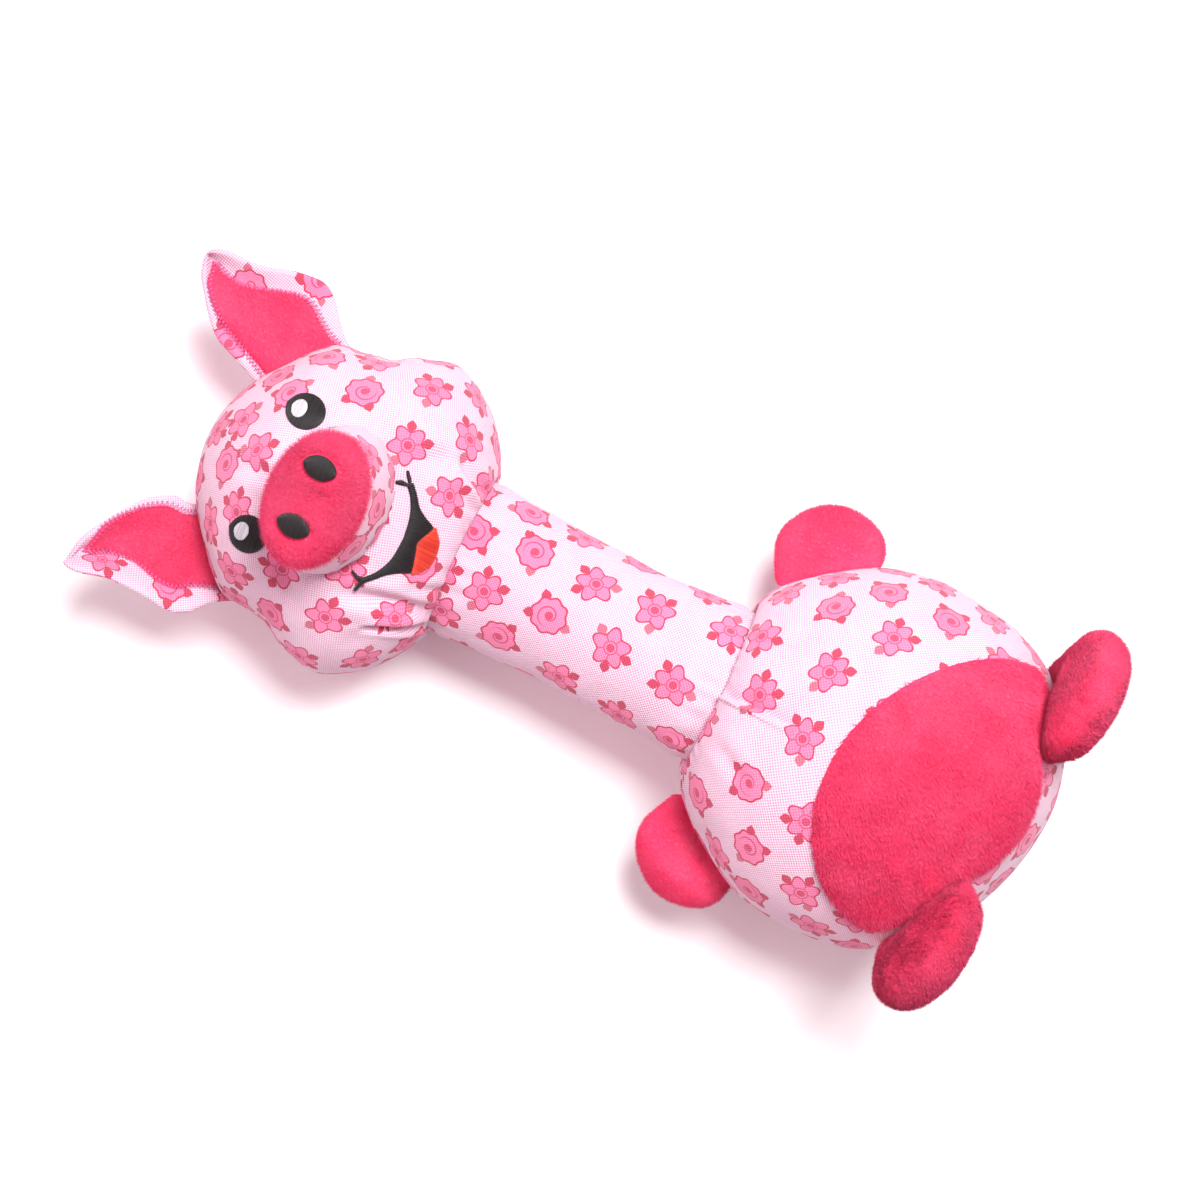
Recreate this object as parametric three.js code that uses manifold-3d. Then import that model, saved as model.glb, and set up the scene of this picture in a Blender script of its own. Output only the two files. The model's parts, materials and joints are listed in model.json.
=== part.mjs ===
// Stuffed dog toy: a dumbbell-shaped pig of printed canvas with plush trim, lying on its back.
// X runs from the head to the seat, +Y is the toy's left side and +Z is up, towards its face and belly.
// Every cover is a sewn panel with its own wall, filled with stuffing that holds a squeaker at each end.

import * as THREE from 'three';
import { mergeVertices } from 'three/addons/utils/BufferGeometryUtils.js';
import Module from 'manifold-3d';

const wasm = await Module();
wasm.setup();

// Driving dimensions, in millimetres.
const canvas = 1.6;
const plush = 2.2;
const embroidery = 1;
const gap = 0.3;
const stuffingGap = 0.8;
const restFlat = 0.5;

const headWidth = 112;
const headDrift = 2.5;
const faceDrift = -1.3;
const bodyWidth = 123;

const neckLength = 94.5;
const neckDiameter = 55;
const neckWaistDiameter = 50;
const neckInset = 4;

const earLength = 44;
const earWidth = 39;
const earCup = 4.5;
const earRise = 9;

const snoutBaseLength = 35;
const snoutBaseWidth = 48;
const snoutTopLength = 31;
const snoutTopWidth = 44;
const snoutHeight = 23;
const snoutBulge = 0.8;
const snoutOffset = 4.3;
const snoutLean = 7;
const snoutSideLean = 5;
const nosePadEdge = 2.2;
const nosePadRise = 2.4;
const nostrilLength = 11;
const nostrilWidth = 7.4;
const nostrilSpacing = 19.5;
const nostrilOffset = -1.5;

const eyeLength = 12.5;
const eyeWidth = 11.8;
const eyeSpacing = 43;
const eyeOffset = -16.6;
const glintLength = 5.3;
const glintWidth = 6.2;
const glintOffset = -2.6;

const mouthOffset = 28.6;
const mouthDrift = -2;
const tongueDrift = -1;
const mouthWidth = 34.5;
const mouthCurveDepth = 6.6;
const mouthLine = 2.2;
const mouthOpen = 4.8;
const mouthOpenWidth = 20;
const tongueWidth = 16;
const tongueDepth = 4.8;

const bellyLength = 64;
const bellyWidth = 96;
const bellyOffset = 12;
const bellySkewLength = 7;

const armLength = 22.5;
const armWidth = 37;
const legLength = 35;
const legWidth = 45;
const limbThickness = 17;
const limbSeam = 2.6;
const limbWall = 1.5;

const bulbRadius = 17;
const bulbLength = 34;
const bulbWall = 1.2;
const reedRadius = 4;
const reedBore = 1.4;
const reedLength = 8;
const reedFlange = 1.5;

// Proportions. Each pair is a share of the half turn from the crown or seat, and a share of the half width.
const headRadiusShares = [
  [0, 0.84], [0.11, 0.828], [0.256, 0.828], [0.322, 0.86], [0.372, 0.885], [0.433, 0.862], [0.483, 0.88],
  [0.544, 0.975], [0.606, 1.055], [0.672, 1.05], [0.75, 1.01], [0.817, 0.975], [0.861, 0.95], [1, 0.9],
];
const faceDepthShares = [
  [0, 0.95], [0.37, 0.95], [0.5, 0.88], [0.6, 0.78], [0.72, 0.85], [0.8, 0.95], [0.86, 1], [1, 1],
];
const napeDepthShares = [
  [0, 0.95], [0.37, 0.92], [0.5, 0.84], [0.6, 0.77], [0.72, 0.84], [0.8, 0.94], [0.86, 1], [1, 1],
];
const bodyRadiusShares = [
  [0, 0.89], [0.13, 0.92], [0.25, 0.955], [0.35, 0.99], [0.5, 1], [0.645, 1.037], [0.728, 1.046],
  [0.79, 1.072], [0.845, 1.08], [0.87, 1.068], [1, 1],
];
const bellyDepthShares = [[0, 1], [0.3, 0.93], [0.5, 0.895], [0.7, 0.9], [0.8, 0.95], [0.87, 1], [1, 1]];
const backDepthShares = [[0, 1], [0.3, 0.9], [0.5, 0.86], [0.7, 0.88], [0.8, 0.95], [0.87, 1], [1, 1]];
const frontRoundness = 2.15;
const backRoundness = 2.5;
const smileRoundness = 2.2;
const bulbRoundShare = 0.6;
const waistShare = 0.8;

// Ear outline: shares of the ear's length along it, and of its width to the outer and inner side.
const earOuterShares = [
  [0, 0.46], [0.15, 0.55], [0.3, 0.57], [0.4, 0.55], [0.55, 0.45], [0.7, 0.31], [0.85, 0.18], [1, 0.05],
];
const earInnerShares = [
  [0, 0.38], [0.2, 0.39], [0.4, 0.37], [0.55, 0.32], [0.72, 0.23], [0.9, 0.12], [1, 0.04],
];
const earBaseStartShare = 0.16;
const earBaseEndShare = 0.39;
const earReachShares = [-0.925, 0.38];
const liningBaseShare = 0.06;
const liningTipShare = 0.88;
const liningInnerShare = -0.82;
const liningOuterShare = 0.55;
const earSettleShare = 0.35;
const earFlatShare = 0.3;

// Where the limbs are sewn on, as shares of the body's half width along and across it, how many gaps they
// stand clear of it, and how they point.
const armSeatShares = { near: [-0.9, 0.6], far: [-0.44, 0.96], below: 0.12, slump: 0, drift: 0, gaps: 2 };
const armReachShares = [-0.26, 0.8, -0.5];
const legSeatShares = {
  near: [0.595, 0.39], far: [0.495, 0.81], below: 0, slump: 0.08, drift: 0.045, gaps: 4,
};
const legReachShares = [0.15, 0.38, 0.92];
const bodySlumpShare = 0.1;
const bellyCornerShare = 0.2;
const bellySlumpShare = 0.15;

// How a limb narrows towards its seam, and how closely the seam follows the body.
const baseRoundness = 4.2;
const baseNarrowShare = 0.03;
const baseHugShare = 0.85;
const limbWidestShare = 0.52;
const limbSwellShare = 0.55;
const limbRoundness = 2.4;

// A stuffed form is followed from its pole to just short of its axis; its neck opening lies past the jowls.
const openTurnShare = 0.6;
const fullTurnShare = 0.95;
const turnStep = 0.003;
const settlings = 6;

// How finely the surfaces are divided.
const turns = 14;
const arounds = 28;
const fillArounds = 14;

const left = 1;
const right = -1;

// A smooth curve through a table of shares.
function curve(table, at) {
  const last = table.length - 1;
  const slope = (i) => {
    const a = Math.max(i - 1, 0);
    const b = Math.min(i + 1, last);
    return (table[b][1] - table[a][1]) / (table[b][0] - table[a][0]);
  };
  let i = 0;
  while (i < last - 1 && at > table[i + 1][0]) i += 1;
  const span = table[i + 1][0] - table[i][0];
  const t = THREE.MathUtils.clamp((at - table[i][0]) / span, 0, 1);
  const t2 = t * t;
  const t3 = t2 * t;
  const start = table[i][1] * (2 * t3 - 3 * t2 + 1) + slope(i) * span * (t3 - 2 * t2 + t);
  return start + table[i + 1][1] * (3 * t2 - 2 * t3) + slope(i + 1) * span * (t3 - t2);
}

// The value where a rising function crosses zero.
function bisect(rising, low, high) {
  const halvings = 40;
  for (let i = 0; i < halvings; i += 1) {
    const middle = (low + high) / 2;
    if (rising(middle) > 0) high = middle;
    else low = middle;
  }
  return (low + high) / 2;
}

const power = (value, exponent) => Math.sign(value) * Math.abs(value) ** exponent;
const range = (count) => Array.from({ length: count + 1 }, (_, i) => i / count);
const oval = (share, length, width) => {
  const angle = share * 2 * Math.PI;
  return new THREE.Vector2(Math.cos(angle) * length / 2, Math.sin(angle) * width / 2);
};

// One closed body, welded corner by corner and turned so that its faces point out.
class Skin {
  constructor() {
    this.corners = [];
    this.faces = [];
    this.known = new Map();
    this.weldsPerUnit = 10000;
  }

  corner(point) {
    const key = point.toArray().map((value) => Math.round(value * this.weldsPerUnit)).join(' ');
    if (!this.known.has(key)) {
      this.known.set(key, this.corners.length);
      this.corners.push(point);
    }
    return this.known.get(key);
  }

  face(a, b, c) {
    const ids = [this.corner(a), this.corner(b), this.corner(c)];
    if (new Set(ids).size === 3) this.faces.push(ids);
  }

  quad(a, b, c, d) {
    this.face(a, b, c);
    this.face(a, c, d);
  }

  geometry() {
    let volume = 0;
    for (const [a, b, c] of this.faces) {
      const edge = this.corners[b].clone().cross(this.corners[c]);
      volume += this.corners[a].dot(edge);
    }
    const order = volume > 0 ? this.faces : this.faces.map(([a, b, c]) => [a, c, b]);
    const geometry = new THREE.BufferGeometry();
    const positions = this.corners.flatMap((point) => point.toArray());
    geometry.setAttribute('position', new THREE.Float32BufferAttribute(positions, 3));
    geometry.setIndex(order.flat());
    geometry.computeVertexNormals();
    return geometry;
  }
}

// A wall between two grids of the same size. Where the columns wrap, only the first and last rows have a rim.
function wallBetween(outer, inner, wrap) {
  const skin = new Skin();
  const rows = outer.length;
  const columns = outer[0].length;
  const spans = wrap ? columns : columns - 1;
  for (let i = 0; i < rows - 1; i += 1) {
    for (let j = 0; j < spans; j += 1) {
      const k = (j + 1) % columns;
      skin.quad(outer[i][j], outer[i + 1][j], outer[i + 1][k], outer[i][k]);
      skin.quad(inner[i][j], inner[i][k], inner[i + 1][k], inner[i + 1][j]);
    }
  }
  for (let j = 0; j < spans; j += 1) {
    const k = (j + 1) % columns;
    skin.quad(outer[0][j], outer[0][k], inner[0][k], inner[0][j]);
    skin.quad(outer[rows - 1][k], outer[rows - 1][j], inner[rows - 1][j], inner[rows - 1][k]);
  }
  if (!wrap) {
    const last = columns - 1;
    for (let i = 0; i < rows - 1; i += 1) {
      skin.quad(outer[i + 1][0], outer[i][0], inner[i][0], inner[i + 1][0]);
      skin.quad(outer[i][last], outer[i + 1][last], inner[i + 1][last], inner[i][last]);
    }
  }
  return skin.geometry();
}

// A solid through a stack of rings, closed by a single point at each end.
function ringSolid(rings) {
  const skin = new Skin();
  for (let i = 0; i < rings.length - 1; i += 1) {
    for (let j = 0; j < rings[i].length; j += 1) {
      const k = (j + 1) % rings[i].length;
      skin.quad(rings[i][j], rings[i + 1][j], rings[i + 1][k], rings[i][k]);
    }
  }
  return skin.geometry();
}

// A sewn patch: rings from a middle out to an outline, placed by ring share, angle share and lift.
function patchSolid(place, rings, sides, low, high) {
  const shares = range(sides).slice(0, -1);
  const grid = (lift) => rings.map((ring) => shares.map((share) => place(ring, share, lift)));
  return wallBetween(grid(high), grid(low), true);
}

function cutBelow(geometry, height) {
  const solid = (shape) => {
    const bare = shape.clone();
    bare.deleteAttribute('normal');
    bare.deleteAttribute('uv');
    const merged = mergeVertices(bare);
    const vertProperties = new Float32Array(merged.attributes.position.array);
    const triVerts = new Uint32Array(merged.index.array);
    return new wasm.Manifold(new wasm.Mesh({ numProp: 3, vertProperties, triVerts }));
  };
  const reach = headWidth + bodyWidth;
  const floor = new THREE.BoxGeometry(2 * reach, 2 * reach, reach).translate(0, 0, height - reach / 2);
  const mesh = solid(geometry).subtract(solid(floor)).getMesh();
  const cut = new THREE.BufferGeometry();
  cut.setAttribute('position', new THREE.Float32BufferAttribute(mesh.vertProperties, 3));
  cut.setIndex(Array.from(mesh.triVerts));
  cut.computeVertexNormals();
  return cut;
}

// A stuffed form: a rounded shape about X, closed at one pole and open where the neck is sewn in.
class StuffedForm {
  constructor(pole, width, slump, radiusShares, frontShares, backShares) {
    this.pole = pole;
    this.slump = slump;
    this.half = width / 2;
    this.radiusShares = radiusShares;
    this.frontShares = frontShares;
    this.backShares = backShares;
    this.openTurn = openTurnShare * Math.PI;
    this.fullTurn = fullTurnShare * Math.PI;
  }

  section(turn) {
    const share = turn / Math.PI;
    const reach = this.half * curve(this.radiusShares, share);
    const front = curve(this.frontShares, share);
    const back = curve(this.backShares, share);
    return { x: this.pole * reach * Math.cos(turn), radius: reach * Math.sin(turn), front, back };
  }

  // How far the closed end has slumped along X, which grows with the distance to the side.
  slumped(x, y) {
    return this.slump * y * THREE.MathUtils.smoothstep(this.pole * x, 0, this.half);
  }

  upright(x, y) {
    let straight = x;
    for (let i = 0; i < settlings; i += 1) straight = x - this.slumped(straight, y);
    return straight;
  }

  raw(turn, around) {
    const { x, radius, front, back } = this.section(turn);
    const up = Math.sin(around) >= 0;
    const exponent = 2 / (up ? frontRoundness : backRoundness);
    const y = radius * power(Math.cos(around), exponent);
    const z = radius * (up ? front : back) * power(Math.sin(around), exponent);
    return new THREE.Vector3(x + this.slumped(x, y), y, z);
  }

  normal(turn, around) {
    const step = turnStep;
    if (turn < 2 * step) return new THREE.Vector3(this.pole, 0, 0);
    const along = this.raw(turn + step, around).sub(this.raw(turn - step, around));
    const across = this.raw(turn, around + step).sub(this.raw(turn, around - step));
    return along.cross(across).multiplyScalar(this.pole).normalize();
  }

  // A point on the surface, moved out along its normal. The side seam lies at around 0 and at half a turn.
  point(turn, around, lift = 0) {
    return this.raw(turn, around).addScaledVector(this.normal(turn, around), lift);
  }

  turnAtX(x, lift = 0, around = Math.PI / 2) {
    return bisect((turn) => this.pole * (x - this.point(turn, around, lift).x), 0, this.fullTurn);
  }

  // The turn at which a layer narrows to the given radius, where the neck passes through it.
  openingTurn(radius, around, lift) {
    const spread = (turn) => {
      const { y, z } = this.point(turn, around, lift);
      return radius - Math.hypot(y, z);
    };
    return bisect(spread, this.openTurn, this.fullTurn);
  }

  // The point of the front above a place in plan.
  over(x, y, lift = 0) {
    const straight = this.upright(x, y);
    const turn = bisect((value) => this.pole * (straight - this.section(value).x), 0, this.fullTurn);
    const ratio = THREE.MathUtils.clamp(y / this.section(turn).radius, -1, 1);
    return this.point(turn, Math.acos(power(ratio, frontRoundness / 2)), lift);
  }

  outside(point) {
    const straight = this.upright(point.x, point.y);
    const turn = bisect((value) => this.pole * (straight - this.section(value).x), 0, this.fullTurn);
    const { x, radius, front, back } = this.section(turn);
    const up = point.z >= 0;
    const roundness = up ? frontRoundness : backRoundness;
    const height = Math.abs(point.z) / (radius * (up ? front : back));
    const beyond = Math.max(this.pole * (straight - x), 0);
    return (Math.abs(point.y) / radius) ** roundness + height ** roundness + beyond - 1;
  }

  // How far along a direction a line from a point inside leaves the form.
  exit(origin, direction) {
    const reach = (distance) => this.outside(origin.clone().addScaledVector(direction, distance));
    return bisect(reach, -this.half, this.half);
  }

  depth() {
    const samples = 400;
    const depths = range(samples).map((share) => this.section(share * this.fullTurn));
    return Math.max(...depths.map(({ radius, back }) => radius * back));
  }

  panel(side, wall, openingRadius) {
    const layer = (lift) => range(turns).map((row) => range(arounds / 2).map((column) => {
      const around = side * column * Math.PI;
      const end = this.openingTurn(openingRadius, around, lift);
      const point = this.point(row * end, around, lift);
      return point.add(new THREE.Vector3(0, 0, side * gap / 2));
    }));
    return wallBetween(layer(0), layer(-wall), false);
  }

  // Stuffing inside the wall, with a channel from the neck end that holds the squeaker.
  stuffing(wall, end, channelRadius, channelDepth) {
    const lift = -wall - stuffingGap;
    const endTurn = this.turnAtX(end, lift);
    const sides = range(fillArounds).slice(0, -1).map((share) => share * 2 * Math.PI);
    const rings = range(turns).map((row) => sides.map((around) => this.point(row * endTurn, around, lift)));
    for (const point of rings.at(-1)) point.x = end;
    const circle = (x, radius) => sides.map((around) => (
      new THREE.Vector3(x, radius * Math.cos(around), radius * Math.sin(around))));
    rings.push(circle(end, channelRadius), circle(channelDepth, channelRadius), circle(channelDepth, 0));
    return ringSolid(rings);
  }
}

const head = new StuffedForm(-1, headWidth, 0, headRadiusShares, faceDepthShares, napeDepthShares);
const body = new StuffedForm(
  1, bodyWidth, bodySlumpShare, bodyRadiusShares, bellyDepthShares, backDepthShares);

const openingRadius = neckDiameter / 2 + gap;
const headOpening = head.point(head.openingTurn(openingRadius, Math.PI / 2, 0), Math.PI / 2).x;
const bodyOpening = body.point(body.openingTurn(openingRadius, Math.PI / 2, 0), Math.PI / 2).x;
const headPlace = new THREE.Vector3(0, headDrift, head.depth() - restFlat);
const bodyPlace = new THREE.Vector3(headOpening + neckLength - bodyOpening, 0, body.depth() - restFlat);

// Where the stuffing of each end stops, just short of the neck tube's end.
const headFillEnd = headOpening - neckInset - gap;
const bodyFillEnd = bodyOpening + neckInset + gap;
const squeakerEnd = bulbLength / 2 + reedLength / 2;
const channelRadius = (bulbRadius + gap) / Math.cos(Math.PI / fillArounds);
const pocketDepth = bulbLength / 2 + gap;

const colours = {
  canvas: 0xf8dbe8,
  plush: 0xf4386c,
  black: 0x1c1517,
  white: 0xf2f0f2,
  red: 0xe0402e,
  stuffing: 0xf4f2ee,
  plastic: 0xe8e4d8,
};

function piece(name, geometry, colour, roughness = 0.9) {
  const material = new THREE.MeshStandardMaterial({ color: colours[colour], roughness, metalness: 0 });
  const mesh = new THREE.Mesh(geometry, material);
  mesh.name = name;
  return mesh;
}

function assembly(...children) {
  const group = new THREE.Group();
  group.add(...children);
  return group;
}

// A hollow blow-moulded bulb with its mouth towards +X, and the reed plug that closes the mouth.
function squeaker(name) {
  const half = bulbLength / 2;
  const mouth = reedRadius + gap;
  const shell = (inset) => range(5).map((share) => {
    const angle = share * Math.PI / 2;
    const radius = (bulbRadius - inset) * Math.sin(angle) ** bulbRoundShare;
    return new THREE.Vector2(radius, -(half - inset) * Math.cos(angle) ** bulbRoundShare);
  });
  const shoulder = (inset) => range(5).slice(1).map((share) => {
    const angle = share * Math.PI / 2;
    const radius = mouth + (bulbRadius - inset - mouth) * Math.cos(angle) ** bulbRoundShare;
    return new THREE.Vector2(radius, (half - inset) * Math.sin(angle) ** bulbRoundShare);
  });
  const inner = [...shell(bulbWall), ...shoulder(bulbWall)];
  const profile = [...shell(0), ...shoulder(0), ...inner.reverse()];
  profile[0].x = 0;
  profile.at(-1).x = 0;
  const bulb = new THREE.LatheGeometry(profile, fillArounds);
  const plug = [
    [reedBore, -reedLength / 2], [reedRadius, -reedLength / 2], [reedRadius, gap],
    [reedRadius + reedFlange, gap], [reedRadius + reedFlange, reedLength / 2], [reedBore, reedLength / 2],
    [reedBore, -reedLength / 2],
  ].map(([radius, height]) => new THREE.Vector2(radius, height + half));
  const reed = new THREE.LatheGeometry(plug, fillArounds);
  const upright = -Math.PI / 2;
  return assembly(
    piece(`${name}_squeaker_bulb`, bulb.rotateZ(upright), 'plastic', 0.4),
    piece(`${name}_squeaker_reed`, reed.rotateZ(upright), 'white', 0.4),
  );
}

// A patch of embroidery or plush lying on the face or belly, over an oval in plan.
function surfacePatch(form, outline, rings, sides, low, high) {
  const place = (ring, share, lift) => {
    const { x, y } = outline(ring, share);
    return form.over(x, y, lift).add(new THREE.Vector3(0, 0, gap / 2));
  };
  return patchSolid(place, rings, sides, low, high);
}

function eye(side) {
  const name = side === left ? 'left' : 'right';
  const centre = new THREE.Vector2(eyeOffset, faceDrift + side * eyeSpacing / 2);
  const sides = 14;
  const black = (ring, share) => oval(share, eyeLength, eyeWidth).multiplyScalar(ring).add(centre);
  const glintCentre = centre.clone().add(new THREE.Vector2(glintOffset, 0));
  const white = (ring, share) => oval(share, glintLength, glintWidth).multiplyScalar(ring).add(glintCentre);
  const top = gap + embroidery;
  const glintFoot = top + gap;
  const pupil = surfacePatch(head, black, range(2), sides, gap, top);
  const glint = surfacePatch(head, white, range(1), sides, glintFoot, glintFoot + embroidery / 2);
  return [
    piece(`${name}_eye`, pupil, 'black', 0.5),
    piece(`${name}_eye_glint`, glint, 'white', 0.5),
  ];
}

// The smile is one ribbon of embroidery, wide in the middle where the mouth is open.
function mouth() {
  const columns = range(22).map((share) => 2 * share - 1);
  const rows = range(2);
  const middle = faceDrift + mouthDrift;
  const top = gap + embroidery;
  const upper = (t) => mouthOffset - mouthCurveDepth * Math.abs(t) ** smileRoundness;
  const open = (t) => {
    const share = Math.min(Math.abs(t) * mouthWidth / mouthOpenWidth, 1);
    return mouthLine + mouthOpen * Math.sqrt(1 - share ** 4);
  };
  const ribbon = (rows, shape, drift, width, low, high) => {
    const layer = (lift) => rows.map((row) => columns.map((t) => {
      const point = head.over(shape(row, t), drift + t * width / 2, lift);
      return point.add(new THREE.Vector3(0, 0, gap / 2));
    }));
    return wallBetween(layer(high), layer(low), false);
  };
  const smile = ribbon(rows, (row, t) => upper(t) + row * open(t), middle, mouthWidth, gap, top);
  const lip = (t) => {
    const across = (t * tongueWidth + 2 * tongueDrift) / mouthWidth;
    return upper(across) + open(across) + 2 * gap;
  };
  const tip = (t) => embroidery + (tongueDepth - embroidery) * (1 - t * t);
  const tongue = ribbon(rows, (row, t) => lip(t) + row * tip(t), middle + tongueDrift, tongueWidth, gap, top);
  return [piece('mouth', smile, 'black', 0.5), piece('tongue', tongue, 'red', 0.5)];
}

// The snout is a short oval wall that stands on the face and leans a little towards the crown and the right.
function snout() {
  const lean = THREE.MathUtils.degToRad(snoutLean);
  const foot = head.over(snoutOffset, faceDrift);
  const sideLean = THREE.MathUtils.degToRad(snoutSideLean);
  const turned = new THREE.Euler(sideLean, -lean, 0);
  const place = new THREE.Matrix4().makeRotationFromEuler(turned).setPosition(foot);
  const down = new THREE.Vector3(0, 0, 1).transformDirection(place);
  const seat = (x, y) => head.exit(new THREE.Vector3(x, y, 0).applyMatrix4(place), down) + 2 * gap;
  const inset = (point, wall) => point.multiplyScalar(1 - wall / point.length());
  const sides = 28;
  const angles = range(sides).slice(0, -1);
  const wallLayer = (wall) => range(4).map((row) => angles.map((share) => {
    const low = inset(oval(share, snoutBaseLength, snoutBaseWidth), wall);
    const high = inset(oval(share, snoutTopLength, snoutTopWidth), wall);
    const bulge = 1 + snoutBulge * Math.sin(row * Math.PI) / snoutTopLength;
    const at = low.clone().lerp(high, row).multiplyScalar(bulge);
    return new THREE.Vector3(at.x, at.y, THREE.MathUtils.lerp(seat(low.x, low.y), snoutHeight, row));
  }));
  const band = wallBetween(wallLayer(0), wallLayer(canvas), true);

  const padRings = [0, 0.35, 0.65, 0.88, 1];
  const padTop = (ring) => snoutHeight + gap + nosePadEdge + nosePadRise * (1 - ring ** 3);
  const padGrid = (height) => padRings.map((ring) => angles.map((share) => {
    const at = oval(share, snoutTopLength, snoutTopWidth).multiplyScalar(ring);
    return new THREE.Vector3(at.x, at.y, height(ring));
  }));
  const pad = wallBetween(padGrid(padTop), padGrid(() => snoutHeight + gap), true);

  const fillGrid = (top) => [0, 0.5, 1].map((ring) => angles.filter((_, i) => i % 2 === 0).map((share) => {
    const size = top ? [snoutTopLength, snoutTopWidth] : [snoutBaseLength, snoutBaseWidth];
    const at = inset(oval(share, ...size), canvas + 2 * gap).multiplyScalar(ring);
    return new THREE.Vector3(at.x, at.y, top ? snoutHeight : seat(at.x, at.y));
  }));
  const fill = wallBetween(fillGrid(true), fillGrid(false), true);

  const nostril = (side) => patchSolid((ring, share, lift) => {
    const at = oval(share, nostrilLength, nostrilWidth).multiplyScalar(ring);
    at.y += side * nostrilSpacing / 2;
    at.x += nostrilOffset;
    const edge = Math.hypot(2 * at.x / snoutTopLength, 2 * at.y / snoutTopWidth);
    return new THREE.Vector3(at.x, at.y, padTop(edge) + lift);
  }, [0, 0.5, 1], 14, gap, gap + embroidery / 2);

  const group = assembly(
    piece('snout_band', band, 'canvas'),
    piece('nose_pad', pad, 'plush'),
    piece('snout_stuffing', fill, 'stuffing'),
    piece('left_nostril', nostril(left), 'black'),
    piece('right_nostril', nostril(right), 'black'),
  );
  group.applyMatrix4(place);
  return group;
}

// Hinge lines of the parts that flap. A positive turn lifts the part towards the face and belly side.
const hinges = [];

function hinge(name, place, origin, axis, reach) {
  const lifts = axis.clone().cross(reach).z > 0;
  hinges.push({ name, origin: origin.clone().add(place), axis: axis.clone().multiplyScalar(lifts ? 1 : -1) });
}

// An ear is two canvas panels with a plush lining on the front one. It is sewn into the side seam.
function ear(side) {
  const name = side === left ? 'left' : 'right';
  const seam = canvas + gap / 2;
  const baseTurn = (w) => THREE.MathUtils.lerp(earBaseStartShare, earBaseEndShare, (1 + w) / 2) * Math.PI;
  const seat = (w) => head.point(baseTurn(w), 0, 0);
  const reach = new THREE.Vector3(...earReachShares, 0).normalize();
  const outward = new THREE.Vector3(reach.y, -reach.x, 0);
  const middle = seat(0);
  const foot = 2.5 * gap;
  const tip = (v, w) => {
    const share = w > 0 ? curve(earOuterShares, v) : -curve(earInnerShares, v);
    const across = share * Math.abs(w) * earWidth;
    return middle.clone().addScaledVector(reach, v * earLength).addScaledVector(outward, across);
  };
  const surface = (v, w) => {
    const settled = THREE.MathUtils.smoothstep(v, 0, earSettleShare);
    const point = seat(w).addScaledVector(reach, v * earLength).lerp(tip(v, w), settled);
    const cupped = Math.sin(Math.min(2 * v, 1) * Math.PI / 2);
    point.z = earRise * v * v + earCup * (w * w - earFlatShare) * cupped;
    return point;
  };
  const place = (v, w, lift) => {
    const step = turnStep;
    const along = surface(v + step, w).sub(surface(v - step, w));
    const across = surface(v, w + step).sub(surface(v, w - step));
    const normal = across.cross(along).normalize();
    const round = seam - Math.sqrt(Math.max(seam * seam - lift * lift, 0));
    const point = surface(v + (foot + round) / earLength * (1 - v), w);
    return point.addScaledVector(normal, lift);
  };
  const sheet = (rows, columns, low, high) => {
    const layer = (lift) => rows.map((v) => columns.map((w) => {
      const point = place(v, w, lift);
      return new THREE.Vector3(point.x, side * point.y, point.z);
    }));
    return wallBetween(layer(high), layer(low), false);
  };
  const rows = range(9);
  const columns = range(4).map((share) => 2 * share - 1);
  const { lerp } = THREE.MathUtils;
  const liningRows = range(7).map((share) => lerp(liningBaseShare, liningTipShare, share));
  const liningColumns = range(3).map((share) => lerp(liningInnerShare, liningOuterShare, share));
  const liningFoot = seam + gap;
  const liningTop = liningFoot + plush / 2;
  const axis = seat(1).sub(seat(-1)).normalize();
  const origin = middle.clone().addScaledVector(reach, foot + seam);
  const mirror = new THREE.Vector3(1, side, 1);
  const [hingePoint, hingeAxis, hingeReach] = [origin, axis, reach.clone()].map((v) => v.multiply(mirror));
  hinge(`${name}_ear`, headPlace, hingePoint, hingeAxis, hingeReach);
  return [
    piece(`${name}_ear_back`, sheet(rows, columns, -seam, -gap / 2), 'canvas'),
    piece(`${name}_ear_front`, sheet(rows, columns, gap / 2, seam), 'canvas'),
    piece(`${name}_ear_lining`, sheet(liningRows, liningColumns, liningFoot, liningTop), 'plush'),
  ];
}

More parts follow.
